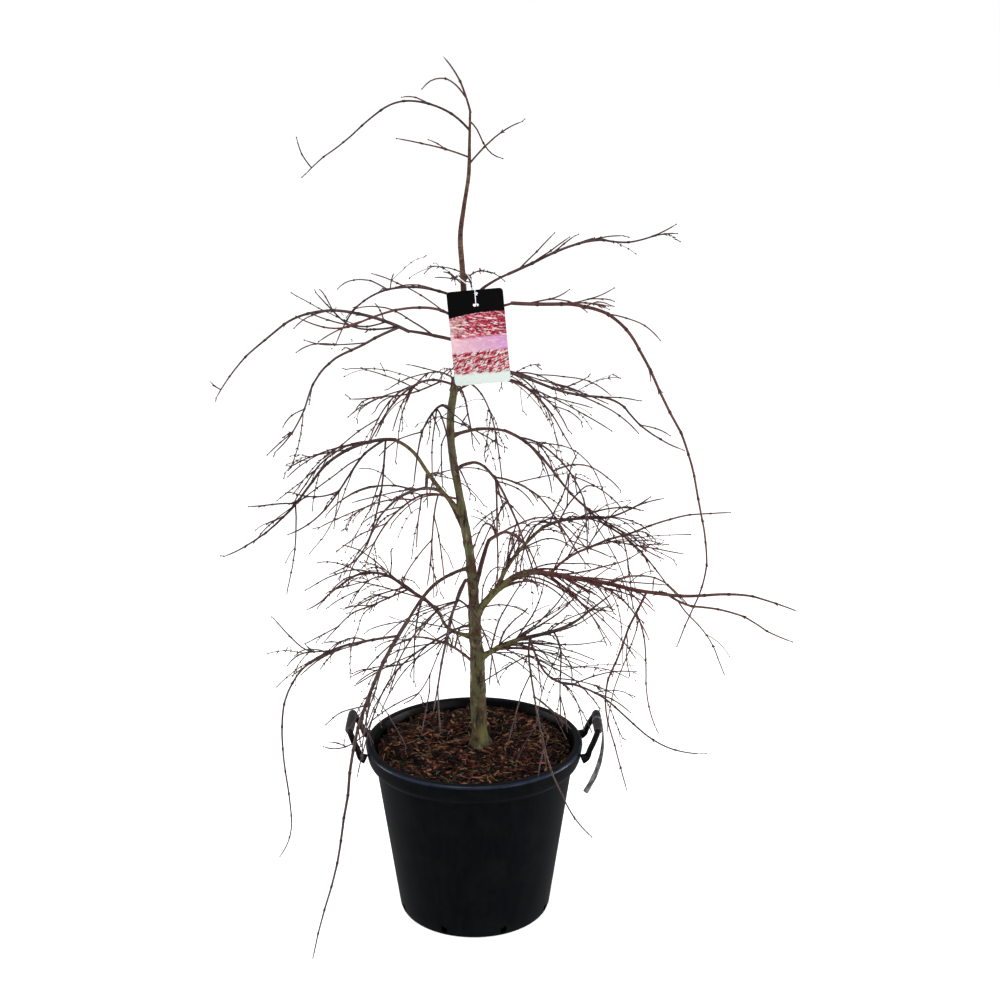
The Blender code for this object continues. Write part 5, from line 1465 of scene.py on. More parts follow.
def turned(made, profile, sides):
    """A profile of (radius, height) points turned round +Z, closed at its ends on the axis."""
    angle = math.tau * np.arange(sides) / sides
    radius, height = profile[1:-1, 0, None], profile[1:-1, 1, None]
    skin = np.stack([radius * np.cos(angle), radius * np.sin(angle), height + 0 * angle], axis=-1)
    poles = np.array([[0, 0, profile[0, 1]], [0, 0, profile[-1, 1]]])
    made.add(np.concatenate([skin.reshape(-1, 3), poles]), *tube_faces(len(profile) - 2, sides))


def pot_profile():
    """Outline of the moulded pot: foot, wall, collar rounded in under itself, rolled rim, and the inside."""
    low = POT_HEIGHT - COLLAR_DEPTH
    foot = arc((FOOT_R - FOOT_CURVE, FOOT_CURVE), FOOT_CURVE, -90, -4, 8)
    heights = np.linspace(FOOT_ROUND, low - 0.002, 24)
    wall = np.c_[wall_radius(heights), heights]
    heights = np.linspace(low, POT_HEIGHT - RIM_ROUND, 26)
    share = (heights - low) / (heights[-1] - low)
    full = COLLAR_R - COLLAR_TAPER * (1 - share**COLLAR_POWER)
    rise = np.clip((heights - low) / COLLAR_COVE, 0, 1)
    under = wall_radius(heights)
    collar = np.c_[under + (full - under) * np.sqrt(1 - (1 - rise) ** 2), heights]
    rim = arc((COLLAR_R - RIM_ROUND, POT_HEIGHT - RIM_ROUND), RIM_ROUND, 4, 90, 9)
    mouth = arc((MOUTH_R + MOUTH_ROUND, POT_HEIGHT - MOUTH_ROUND), MOUTH_ROUND, 90, 180, 6)
    heights = np.linspace(POT_HEIGHT - 0.012, FOOT_ROUND + 0.002, 14)
    inside = np.c_[np.where(heights > low, MOUTH_R - WALL - 0.0015, wall_radius(heights) - WALL), heights]
    floor = np.array([(FOOT_R - FOOT_ROUND - 0.002, WALL + 0.001), (0.0, WALL + 0.001)])
    return np.concatenate([[(0.0, 0.0)], foot, wall, collar, rim, mouth, inside, floor])


def slot_cutters():
    """A block with round corners for each drain slot, pointing out from the axis."""
    cutters = Surfaces()
    width, tall = DRAIN_SLOT
    outline = rounded_corners(width, tall, width * 0.3, 5)
    inner = FOOT_R - FOOT_ROUND - WALL
    sides = len(outline)
    middle = np.array([0, 0, DRAIN_SLOT_LOW + tall / 2])
    for turn in math.tau * (np.arange(DRAIN_SLOTS) + 0.5) / DRAIN_SLOTS:
        out = np.array([math.cos(turn), math.sin(turn), 0])
        aside = np.array([-math.sin(turn), math.cos(turn), 0])
        ring = middle + outline[:, :1] * aside + outline[:, 1:] * (0, 0, 1.0)
        points = np.concatenate([ring + out * inner, ring + out * (inner + DRAIN_SLOT_DEEP)])
        cutters.add(points, grid_faces(2, sides, close_columns=True), np.arange(sides)[None, ::-1],
                    np.arange(sides)[None] + sides)
    return cutters


def make_pot(surface):
    made = Surfaces()
    turned(made, pot_profile(), POT_ROUND_SIDES)
    pot = make_piece("nursery_pot", made, [surface], ["pot"])
    tool = make_piece("slot_cutters", slot_cutters(), [surface])
    cut = pot.modifiers.new("slots", "BOOLEAN")
    cut.object = tool
    graph = bpy.context.evaluated_depsgraph_get()
    mesh = bpy.data.meshes.new_from_object(pot.evaluated_get(graph))
    pot.modifiers.clear()
    pot.data = mesh
    bpy.data.objects.remove(tool, do_unlink=True)
    mesh.shade_smooth()
    mesh.set_sharp_from_angle(angle=math.radians(POT_SHARP))


def squared(angle, power):
    """Unit outline between a circle and a square, by the power of its sine and cosine."""
    cos, sin = np.cos(angle), np.sin(angle)
    return np.sign(cos) * np.abs(cos) ** power, np.sign(sin) * np.abs(sin) ** power


def make_handle(name, side, surfaces):
    """Two flat arms from their lugs on the collar, and a round grip with domed ends between them."""
    route = np.array(handle_line(side))
    made = Surfaces()
    u, v = squared(math.tau * np.arange(ARM_SIDES) / ARM_SIDES, ARM_SQUARE)
    for points in (route[:6], route[::-1][:6]):
        along = along_line(points)
        line, share = smooth_line(points, along / along[-1], np.linspace(0, along[-1], ARM_RINGS))
        ahead = unit(np.gradient(line, axis=0))
        wide = unit(np.array([0.0, 1.0, 0.0]) - ahead * ahead[:, 1:2])
        thick = np.cross(ahead, wide)
        flare = np.exp(-((share / ARM_FLARE) ** 2))
        half_wide = ARM_HALF_WIDE + (LUG_R - ARM_HALF_WIDE) * flare
        half_thick = ARM_HALF_THICK + (LUG_R * 0.8 - ARM_HALF_THICK) * flare
        skin = (line[:, None] + wide[:, None] * (half_wide[:, None] * u)[..., None]
                + thick[:, None] * (half_thick[:, None] * v)[..., None])
        # Wide, thick and ahead turn the other way round to a tube's own frame, so the faces run backwards.
        made.add(np.concatenate([skin.reshape(-1, 3), line[[0, -1]]]),
                 *tube_faces(ARM_RINGS, ARM_SIDES, inward=True))
    make_piece(f"{name}_arms", made, [surfaces[0]], [name], sharp=50)
    grip = Surfaces()
    x, z = side * (COLLAR_R + HANDLE_OUT + 0.001), POT_HEIGHT + HANDLE_UP + 0.002
    t = np.linspace(-1, 1, GRIP_RINGS)
    line = np.c_[np.full(GRIP_RINGS, x), t * (HANDLE_HALF - GRIP_SHORT), np.full(GRIP_RINGS, z)]
    radii = GRIP_R * (1 - np.abs(t) ** GRIP_DOME) ** 0.5 * (1 - GRIP_WAIST * t * t)
    add_tubes(grip, line[None, 1:-1], radii[None, 1:-1], GRIP_SIDES)
    make_piece(f"{name}_grip", grip, [surfaces[1]], [name])


# Mulch


def mulch_height(x, y):
    """Top of the bed: low waves that fade out round the trunk, falling a little at the wall."""
    from_trunk = np.hypot(x - TRUNK_FOOT[0], y - TRUNK_FOOT[1])
    inner, outer = BARE_ROUND_TRUNK
    fade = np.clip((from_trunk - inner) / (outer - inner), 0, 1)
    waves = np.sin(41 * x + 0.6) * np.cos(37 * y - 0.4) + 0.6 * np.sin(67 * y + 23 * x)
    reach = np.hypot(x, y) / MULCH_R
    return MULCH_TOP + MULCH_WAVE * fade * waves / 1.6 - MULCH_EDGE_DOWN * np.clip(reach * 4 - 3, 0, 1) ** 2


def make_bed(surface):
    """The bed as a disc of rings with crumbs raised by noise, then its side and its underside."""
    share = np.linspace(0, 1, BED_RINGS)[1:, None]
    angle = math.tau * np.arange(BED_SIDES) / BED_SIDES
    x, y = share * MULCH_R * np.cos(angle), share * MULCH_R * np.sin(angle)
    flat = np.stack([x, y, 0 * x], axis=-1)
    crumbs = sum(height * lumps(flat, size, seed) for height, size, seed in BED_CRUMBS)
    top = np.stack([x, y, mulch_height(x, y) + crumbs - 0.001], axis=-1)
    floor = WALL + 0.0013
    down = [(MULCH_R, MULCH_TOP - 0.012)]
    down += [(wall_radius(h) - WALL - MULCH_SIDE_GAP, h) for h in (MULCH_TOP - 0.05, 0.022)]
    down.append((FOOT_R - FOOT_ROUND - 0.004, floor))
    side = [np.stack([r * np.cos(angle), r * np.sin(angle), h + 0 * angle], axis=-1) for r, h in down]
    skin = np.concatenate([top, np.array(side)])
    middle = np.array([[0, 0, MULCH_TOP], [0, 0, floor]])
    made = Surfaces()
    made.add(np.concatenate([skin.reshape(-1, 3), middle]), *tube_faces(len(skin), BED_SIDES, inward=True))
    make_piece("mulch_bed", made, [surface], ["mulch"], sharp=60)


def chips(draws, count, length, width, thick, lift, bend):
    """Chips strewn on the bed: slabs of five cross-sections that taper to torn ends, bent and tilted.

    Each chip has a place drawn evenly over the disc, a heading, a tilt and a roll; its sections lie
    along its heading and sag by its bend.
    """
    reach = MULCH_R * np.sqrt(draws.uniform(0.0, 0.97, count))
    bearing = draws.uniform(0, math.tau, count)
    x, y = reach * np.cos(bearing), reach * np.sin(bearing)
    clear = np.hypot(x - TRUNK_FOOT[0], y - TRUNK_FOOT[1]) > CHIP_CLEAR_OF_TRUNK
    x, y = x[clear], y[clear]
    count = len(x)
    long = draws.uniform(*length, count)
    wide = draws.uniform(*width, count)
    heading = draws.uniform(0, math.tau, count)
    tilt = draws.normal(0, CHIP_TILT, count)
    roll = draws.normal(0, CHIP_ROLL, count)
    t = np.linspace(-1, 1, CHIP_SECTIONS)
    taper = (1 - np.abs(t[None] + draws.uniform(-0.3, 0.3, (count, 1))) ** 3 * 0.75).clip(0.15)
    ahead = np.c_[np.cos(heading) * np.cos(tilt), np.sin(heading) * np.cos(tilt), np.sin(tilt)]
    level = np.c_[-np.sin(heading), np.cos(heading), np.zeros(count)]
    aside = level * np.cos(roll)[:, None] + np.cross(ahead, level) * np.sin(roll)[:, None]
    up = np.cross(ahead, aside)
    sag = draws.normal(0, bend, (count, 1)) * t**2 * long[:, None]
    sway = draws.normal(0, bend, (count, 1)) * t**2 * long[:, None]
    height = mulch_height(x, y) + draws.uniform(*lift, count)
    line = np.stack([x, y, height], axis=-1)[:, None] + ahead[:, None] * (t * long[:, None] / 2)[..., None]
    line += up[:, None] * sag[..., None] + aside[:, None] * sway[..., None]
    half_wide = wide[:, None] / 2 * taper
    half_thick = draws.uniform(*thick, (count, 1)) / 2 * taper**0.5
    corners = np.array(CHIP_CORNERS)
    skin = (line[:, :, None] + aside[:, None, None] * (half_wide[..., None] * corners[:, 0])[..., None]
            + up[:, None, None] * (half_thick[..., None] * corners[:, 1])[..., None])
    over = np.hypot(skin[..., 0], skin[..., 1]).max(axis=(1, 2)) < CHIP_REACH
    skin = skin[over]
    skin[..., 2] = np.minimum(skin[..., 2], CHIP_TOP)
    uv = np.zeros((*skin.shape[:-1], 2))
    uv[..., 0] = (t / 2)[None, :, None] * 3 + draws.uniform(0, 40, (len(skin), 1, 1))
    uv[..., 1] = np.array([0.0, 0.2, 0.8, 1.0]) + draws.uniform(0, 40, (len(skin), 1, 1))
    return skin, uv


def add_slabs(made, skin, uv):
    """Slabs of four-cornered sections, skinned and closed at both ends."""
    count, sections, sides, _ = skin.shape
    ends = np.array([np.arange(sides)[::-1], np.arange(sides) + (sections - 1) * sides])
    faces = np.concatenate([grid_faces(sections, sides, close_columns=True), ends])
    shift = (np.arange(count) * sections * sides)[:, None, None]
    made.add(skin, (faces[None] + shift).reshape(-1, 4), uv=uv)


def make_chips():
    """Strewn chips and fibres, one piece for each wood colour."""
    for number, (name, colour, fibre_colour, count, length, width, thick, lift) in enumerate(CHIP_KINDS):
        draws = np.random.default_rng(100 + number)
        made = Surfaces()
        bend = CHIP_BEND if width[1] > FIBRE_WIDTH else FIBRE_BEND
        add_slabs(made, *chips(draws, count, length, width, thick, lift, bend))
        finish = chip_finish(f"mulch {name}", colour, fibre_colour)
        make_piece(f"mulch_{name}", made, [finish], ["mulch"])


# Tag, elastic and strip


def make_tag(surfaces):
    """The card as two sheets of rings that run from the slot's outline out to the card's, and their edges."""
    slot_up = TAG_SIZE[1] / 2 - TAG_SLOT_DOWN
    slot = rounded_corners(*TAG_SLOT, TAG_SLOT_CORNER, TAG_CORNER_STEPS) + (0, slot_up)
    card = rounded_corners(*TAG_SIZE, TAG_CORNER, TAG_CORNER_STEPS)
    share = np.linspace(0, 1, TAG_RINGS)[:, None, None]
    flat = slot[None] * (1 - share) + card[None] * share
    tilt = math.radians(TAG_TILT)
    across, up = flat[..., 0], flat[..., 1]
    bow = TAG_BOW * ((2 * across / TAG_SIZE[0]) ** 2 - 0.5)
    x = TAG_MIDDLE[0] + across * math.cos(tilt) - up * math.sin(tilt)
    z = TAG_MIDDLE[2] + across * math.sin(tilt) + up * math.cos(tilt)
    uv = np.stack([across / TAG_SIZE[0] + 0.5, up / TAG_SIZE[1] + 0.5], axis=-1)
    rings, sides = flat.shape[:2]
    sheets = [np.stack([x, TAG_MIDDLE[1] + bow + lift, z], axis=-1).reshape(-1, 3)
              for lift in (-TAG_THICK / 2, TAG_THICK / 2)]
    size = rings * sides
    quads = grid_faces(rings, sides, close_columns=True)
    ring = np.arange(sides)
    after = np.roll(ring, -1)
    inner = np.stack([ring, ring + size, after + size, after], axis=1)
    outer = np.stack([ring, after, after + size, ring + size], axis=1) + (rings - 1) * sides
    made = Surfaces()
    made.add(np.concatenate(sheets), quads[:, ::-1], quads + size, inner, outer,
             uv=np.concatenate([uv.reshape(-1, 2)] * 2))
    made.tints[1] = np.ones(len(quads), int)
    make_piece("hang_card", made, surfaces, ["tag"], sharp=40)


def make_elastic(surface):
    """The loop, and a small knot of it at the slot: a trefoil."""
    made = Surfaces()
    route = elastic_route()
    line = closed_curve(route, 12)
    line = np.concatenate([line, line[:2]])
    add_tubes(made, line[None], np.full((1, len(line)), ELASTIC_R), ELASTIC_SIDES)
    turn = np.linspace(0, math.tau, KNOT_RINGS)
    knot = np.stack([np.sin(turn) + 2 * np.sin(2 * turn), np.sin(3 * turn) * 1.1,
                     np.cos(turn) - 2 * np.cos(2 * turn)], axis=-1)
    place = route[2] + np.array([0.002, -0.002, -0.002])
    thin = np.full((1, KNOT_RINGS), ELASTIC_R * 0.9)
    add_tubes(made, place[None, None] + knot[None] * ELASTIC_KNOT, thin, 8)
    make_piece("elastic_loop", made, [surface], ["tag_elastic"])


def make_strip(surface):
    """The strip as a thin band along its middle line, turning about it and rippled towards its free end."""
    middle = strip_line()
    line, _ = smooth_line(middle, np.zeros(len(middle)), np.linspace(0, along_line(middle)[-1], STRIP_RINGS))
    share = np.linspace(0, 1, STRIP_RINGS)[:, None]
    ahead = unit(np.gradient(line, axis=0))
    aside = np.linspace(-0.5, 0.5, STRIP_COLUMNS)[None]
    free = np.clip(share * 2 - 0.9, 0, 1)
    width = STRIP_WIDTH * (1 + 0.05 * np.sin(share * 40))
    twist = math.radians(STRIP_TWIST) * np.clip((share - STRIP_WRAP) * 2.2, 0, 1)
    across = np.concatenate([-np.sin(twist), np.cos(twist), 0 * twist], axis=1)
    across = unit(across - ahead * (ahead * across).sum(axis=1, keepdims=True))
    out = np.cross(ahead, across)[:, None]
    ripple = 0.0012 * free * np.sin(11 * share + 3 * aside) + 0.0005 * free * np.sin(31 * share - 5 * aside)
    sides = [
        line[:, None] + out * (ripple + lift)[..., None] + across[:, None] * (aside * width)[..., None]
        for lift in (STRIP_THICK / 2, -STRIP_THICK / 2)
    ]
    size = STRIP_RINGS * STRIP_COLUMNS
    quads = grid_faces(STRIP_RINGS, STRIP_COLUMNS)
    border = np.arange(size).reshape(STRIP_RINGS, STRIP_COLUMNS)
    rim = np.concatenate([border[0], border[1:, -1], border[-1, -2::-1], border[-2:0:-1, 0]])
    after = np.roll(rim, -1)
    edge = np.stack([rim, after, after + size, rim + size], axis=1)
    made = Surfaces()
    made.add(np.concatenate([side.reshape(-1, 3) for side in sides]), quads, quads[:, ::-1] + size, edge)
    make_piece("paper_strip_band", made, [surface], ["handle_strip"], sharp=50)


# Trunk and boughs


def bark_relief(points, radius, seed, coarse):
    """How far bark stands out at its points, and a mark of 1 in its fissures.

    Long noise gives the fissures where it passes through zero, flat noise the cross bands, and fine
    noise the grain; all are shares of the radius.
    """
    long = lumps(points * (1, 1, 0.16), 0.0062 * coarse, seed)
    fissure = np.clip(1 - np.abs(long) / FISSURE_WIDTH, 0, 1) ** 2
    fissure = fissure * np.clip(lumps(points, 0.03, seed + 1) + 0.4, 0, 1)
    bands = lumps(points * (1, 1, 4.2), 0.014 * coarse, seed + 2)
    fine = lumps(points, 0.0025, seed + 3)
    swell = lumps(points, 0.045, seed + 4)
    out = BAND_SHARE * bands + GRAIN_SHARE * fine + SWELL_SHARE * swell - FISSURE_SHARE * fissure
    return radius * out, fissure * 0.75


def make_trunk(crown, surface):
    """The trunk at fine heights: its own curve, root lobes, collars under the boughs, and bark relief."""
    grown = crown.limbs["trunk"]
    rings = TRUNK_FINE_RINGS
    line, radii = smooth_line(grown.line, grown.radii, np.linspace(0, along_line(grown.line)[-1], rings))
    _, across, beside = (found[0] for found in frames(line[None]))
    around = rings_round(across, beside, TRUNK_FINE_SIDES)
    bearing = np.arctan2(around[..., 1], around[..., 0])
    height = (line[:, 2] - line[0, 2])[:, None]
    flare = ROOT_LOBE_DEPTH * np.exp(-height / ROOT_FADE_HEIGHT)
    lobes = flare * np.cos(ROOT_LOBES * (bearing - ROOT_TURN)) + 0.5 * flare * np.cos(bearing + 0.25)
    skin = line[:, None] + around * radii[:, None, None]
    relief, mark = bark_relief(skin, radii[:, None], 40, 1.0)
    swell = np.zeros(skin.shape[:2])
    for limb in BOUGHS:
        if limb.parent == "trunk" and limb.name in crown.limbs:
            bough = crown.limbs[limb.name]
            reach = np.linalg.norm(skin - bough.line[1], axis=-1) / (bough.radii[0] * 2.2)
            swell += bough.radii[0] * 0.5 * np.exp(-(reach**2))
    for up, turn, size in TRUNK_KNOTS:
        away = np.hypot((bearing - math.radians(turn) + math.pi) % math.tau - math.pi,
                        (height - up) / np.interp(up, height[:, 0], radii))
        core = np.exp(-((away / size) ** 2) * 2.5)
        swell += KNOT_RISE * np.exp(-((away / size - 1.0) ** 2) / 0.10) - KNOT_DEPTH * core
        mark = np.maximum(mark, core * 0.9)
    skin = line[:, None] + around * (radii[:, None] * (1 + lobes) + relief + swell)[..., None]
    skin[0, :, 2] = line[0, 2]
    ends = np.array([line[0], line[-1] + (0, 0, radii[-1] * 0.5)])
    made = Surfaces()
    made.add(np.concatenate([skin.reshape(-1, 3), ends]), *tube_faces(rings, TRUNK_FINE_SIDES),
             mark=np.concatenate([mark.ravel(), (0, 0)]))
    make_piece("trunk_bark", made, [surface], ["trunk"])


def make_boughs(crown, surfaces):
    """Boughs with flared feet sunk in their parent, joints, and the same relief, finer."""
    made = Surfaces()
    joint_rise, joint_half = BOUGH_JOINT
    for number, limb in enumerate(BOUGHS):
        if limb.name not in crown.limbs:
            continue
        grown = crown.limbs[limb.name]
        total = along_line(grown.line)[-1]
        away = np.linspace(0, total, max(24, int(total / BOUGH_RING_EVERY)))
        line, radii = smooth_line(grown.line, grown.radii, away)
        radii = radii[-1] + (radii - radii[-1]) * BOUGH_SLIM.get(limb.name, BOUGH_SLIM_ELSE)
        radii = radii * BOUGH_GIRTH.get(limb.name, 1.0)
        bare = np.maximum(away - foot_of(crown, limb)[1], 0)
        flare = 1 + BOUGH_FLARE * np.exp(-((bare / (1.6 * limb.radius)) ** 2))
        joint = total / max(2, round(total / (KEEP * STEP)))
        from_joint = (away + joint / 2) % joint - joint / 2
        radii = radii * flare * (1 + joint_rise * np.exp(-((from_joint / joint_half) ** 2)))
        _, across, beside = (found[0] for found in frames(line[None]))
        skin = line[:, None] + rings_round(across, beside, BOUGH_FINE_SIDES) * radii[:, None, None]
        relief, mark = bark_relief(skin, radii[:, None], 60 + number, 0.8)
        scale = 1 + relief[None] / radii[None, :, None]
        add_tubes(made, line[None], radii[None], BOUGH_FINE_SIDES, scale=scale,
                  tint=int(limb.name in MOSSY_BOUGHS), mark=mark[None])
    stands_for = [limb.name for limb in BOUGHS if limb.name in frame["nodes"]]
    make_piece("bough_bark", made, surfaces, stands_for)


# Twigs


def joint_places(line, every):
    """Distances along a limb at which its rings lie: evenly, and close together at each joint."""
    total = along_line(line)[-1]
    joints = along_line(line)[KEEP:-1:KEEP]
    close = (joints[:, None] + np.array(JOINT_RINGS)).ravel()
    even = np.linspace(0, total, max(3, int(total / every) + 1))
    apart = np.ones(len(even), bool)
    if len(joints):
        apart = np.abs(even[:, None] - joints[None]).min(axis=1) > JOINT_CLEAR
    wanted = np.sort(np.concatenate([even[apart | (even == 0) | (even == total)], close]))
    return np.clip(wanted, 0, total), joints


def room_in_box(points):
    """Least distance of each point from the sides of the solids' box."""
    low, high = (np.array(corner) for corner in solids_box)
    return np.minimum(points - low, high - points).min(axis=-1)


def held(lines, radii):
    """Radii cut so that no tube leaves the box of the solids."""
    return np.minimum(radii, np.maximum(room_in_box(lines) - TUBE_MARGIN, TUBE_LEAST_R))


def add_limb(made, grown, sunk):
    """A limb of a spray as a fine tube, swollen and dark at its joints, its foot sunk where asked."""
    wanted, joints = joint_places(grown.line, TWIG_RING_EVERY)
    line, radii = smooth_line(grown.line, grown.radii, wanted)
    near = np.exp(-(((wanted[:, None] - joints[None]) / JOINT_HALF) ** 2)).sum(axis=1)
    radii = np.maximum(radii * SPRAY_GIRTH.get(grown.node, TWIG_THICKER), TWIG_LEAST_R)
    radii = radii * (1 + JOINT_SWELL * near) + JOINT_RISE * near
    if sunk:
        line = np.vstack([line[0] - unit(line[1] - line[0]) * TWIG_SUNK, line])
        radii = np.concatenate([radii[:1] * 0.9, radii])
        near = np.concatenate([[0], near])
    radii[-1] *= 0.6
    mark = np.clip(near, 0, 1)[:, None] * 0.8
    add_tubes(made, line[None], held(line, radii)[None], TWIG_FINE_SIDES, mark=mark[None])


def spray_joints(crown, names):
    """Places, directions and radii at the joints of the named limbs."""
    inner = slice(KEEP, -1, KEEP)
    found = [crown.limbs[name] for name in names]
    rows = np.concatenate([np.c_[grown.line, directions(grown.line), grown.radii][inner] for grown in found])
    return rows[:, :3], rows[:, 3:6], rows[:, 6]


def sideways(ahead, cos, sin):
    """Directions square to those ahead, turned about them from the level by an angle."""
    level = unit(np.cross(ahead, (0.0, 0.0, 1.0)) + 1e-9)
    return level * cos + np.cross(level, ahead) * sin


def forks(draws, kind, places, ahead, parent_radii, chance, length):
    """Thin twigs to either side of their places: each leaves by its spread, rises, arches over and droops.

    Its heading is its start, plus a share of the limb's own direction and less a droop that both grow
    along it, plus a drift that is the running sum of small steps.
    """
    count, steps = len(places), kind.points - 1
    phase = np.radians(draws.normal(0, FORK_PHASE, count))[:, None]
    side = sideways(ahead, np.cos(phase), np.sin(phase))
    t = np.linspace(0, 1, steps)[None, :, None]
    foot = np.minimum(FORK_FOOT_R, FORK_FOOT_SHARE * parent_radii)[:, None]
    taper = np.linspace(0, 1, kind.points)[None]
    thin = foot + (np.minimum(FORK_TIP_R, foot * FORK_TIP_SHARE) - foot) * taper
    lines, kept = [], []
    for way in (1, -1):
        angle = np.radians(draws.uniform(*kind.spread, count))[:, None]
        start = ahead * np.cos(angle) + way * side * np.sin(angle)
        start[:, 2] += draws.uniform(*kind.rise, count)
        long = length * draws.uniform(*FORK_PART, count)
        sag = draws.uniform(*kind.droop, count)[:, None, None]
        drift = np.cumsum(draws.normal(0, FORK_DRIFT, (count, steps, 3)), axis=1)
        heading = start[:, None] + FORK_ONWARD * t * ahead[:, None]
        heading = heading - t**FORK_BEND * np.array([0, 0, 1.0]) * sag + drift
        heading = unit(heading) * (long / steps)[:, None, None]
        lines.append(np.concatenate([places[:, None], places[:, None] + np.cumsum(heading, axis=1)], axis=1))
        kept.append(draws.random(count) < chance)
    kept = np.concatenate(kept)
    return np.concatenate(lines)[kept], np.concatenate([thin, thin])[kept]


def companions(draws, paths, per_metre, starts):
    """Long twigs that leave a path at a narrow angle and run on beside it.

    A twig's heading is the path's own there, plus a fixed way aside, less a sag that grows along it, plus a
    drift that is the running sum of small steps.
    """
    steps = COMPANION_POINTS - 1
    t = np.linspace(0, 1, steps)
    lines, radii = [], []
    for path, path_radii, most in paths:
        away = along_line(path)
        tangents = directions(path)
        for _ in range(int(min(per_metre, most) * away[-1] + draws.random())):
            start = draws.uniform(*starts) * away[-1]
            long = min(draws.uniform(*COMPANION_LENGTH), away[-1] - start + COMPANION_PAST)
            along = at_places(start + t * long, away, tangents)
            phase = draws.uniform(0, math.tau)
            aside = sideways(along[0], math.cos(phase), math.sin(phase)) * draws.uniform(*COMPANION_ASIDE)
            aside[2] += draws.uniform(*COMPANION_RISE)
            sag = np.outer(t**COMPANION_BEND, (0, 0, draws.uniform(*COMPANION_SAG)))
            drift = np.cumsum(draws.normal(0, COMPANION_DRIFT, (steps, 3)), axis=0)
            heading = unit(along + aside - sag + drift) * long / steps
            foot = at_places(start, away, path)
            lines.append(np.vstack([foot, foot + np.cumsum(heading, axis=0)]))
            thick = min(COMPANION_R * (0.7 + 1.5 * long), 0.8 * float(np.interp(start, away, path_radii)))
            radii.append(np.linspace(thick, min(FORK_TIP_R, thick), COMPANION_POINTS))
    return np.array(lines).reshape(-1, COMPANION_POINTS, 3), np.array(radii).reshape(-1, COMPANION_POINTS)


Room = namedtuple("Room", "crown tree own")


def clear_of_others(room, lines, radii):
    """The added twigs that keep clear of the solids of all nodes but their own, and stay in the box."""
    numbers = [room.crown.numbers[node] for node in room.own]
    clear = ((room_in_box(lines) > ADDED_MARGIN) & (lines[..., 2] > ADDED_FLOOR)).all(axis=1)
    for k in np.nonzero(clear)[0]:
        near = (found[1] for place in lines[k, 2:] for found in room.tree.find_range(place, FORK_CLEAR))
        clear[k] = all(room.crown.nodes[index] in numbers for index in near)
    return lines[clear], radii[clear]


def add_buds(made, places, ahead, length, radius):
    """Buds as four-sided spindles from their place, ahead."""
    kept = room_in_box(places + ahead * length[:, None]) > BUD_MARGIN
    places, ahead, length = places[kept], ahead[kept], length[kept, None]
    along, around = (np.array(shares) for shares in BUD_SHAPE)
    lines = places[:, None] + ahead[:, None] * (length * along)[..., None]
    add_tubes(made, lines, np.tile(radius * around, (len(places), 1)), 4)


def bud_pairs(draws, places, ahead, radii):
    """Places and directions of opposite buds on the sides of limbs."""
    phase = draws.uniform(0, math.pi, len(places))
    side = sideways(ahead, np.cos(phase)[:, None], np.sin(phase)[:, None])
    feet = [places + way * side * radii[:, None] * 0.7 for way in (1, -1)]
    aims = [unit(ahead + way * side * SIDE_BUD_SPREAD) for way in (1, -1)]
    return np.concatenate(feet), np.concatenate(aims)


def grows_on(name):
    """Whether a limb is named and grows on from the end of its parent."""
    return name in ALL_LIMBS and ALL_LIMBS[name].at == "end"


def long_paths(crown, names):
    """Lines and radii of the longer of the named limbs, and the most companions for a metre of each.

    The stem that grows on from a bough's tip has the bough in front of it.
    """
    stem_most, named_most, side_most = PATH_COMPANIONS
    paths = []
    for name in names:
        line, radii = crown.limbs[name].line, crown.limbs[name].radii
        most = named_most if name in ALL_LIMBS else side_most
        if grows_on(name):
            bough = crown.limbs[ALL_LIMBS[name].parent]
            line, radii = np.vstack([bough.line[:-1], line]), np.concatenate([bough.radii[:-1], radii])
            most = stem_most
        if along_line(line)[-1] > PATH_LEAST:
            paths.append((line, radii, most))
    return paths


def add_finer(made, draws, room, lines, radii):
    """Added twigs as tubes, with finer forks of their own; gives their tips and joints, for the buds."""
    add_tubes(made, lines, radii, FORK_SIDES)
    inner = slice(3, -2, 2)
    middle = lines[:, inner].reshape(-1, 3)
    onward = unit(lines[:, 4:-1:2] - lines[:, inner]).reshape(-1, 3)
    slim = radii[:, inner].reshape(-1)
    long = np.repeat(np.linalg.norm(lines[:, -1] - lines[:, 0], axis=1), lines[:, inner].shape[1])
    chance = np.where(long > FINER_FROM, FINER_CHANCE, 0.0)
    length = FINER_LENGTH[0] + FINER_LENGTH[1] * long
    finer = clear_of_others(room, *forks(draws, FINER_FORKS, middle, onward, slim, chance, length))
    add_tubes(made, *finer, FORK_SIDES)
    return [lines[:, -2:], finer[0][:, -2:]], (middle, onward, slim)


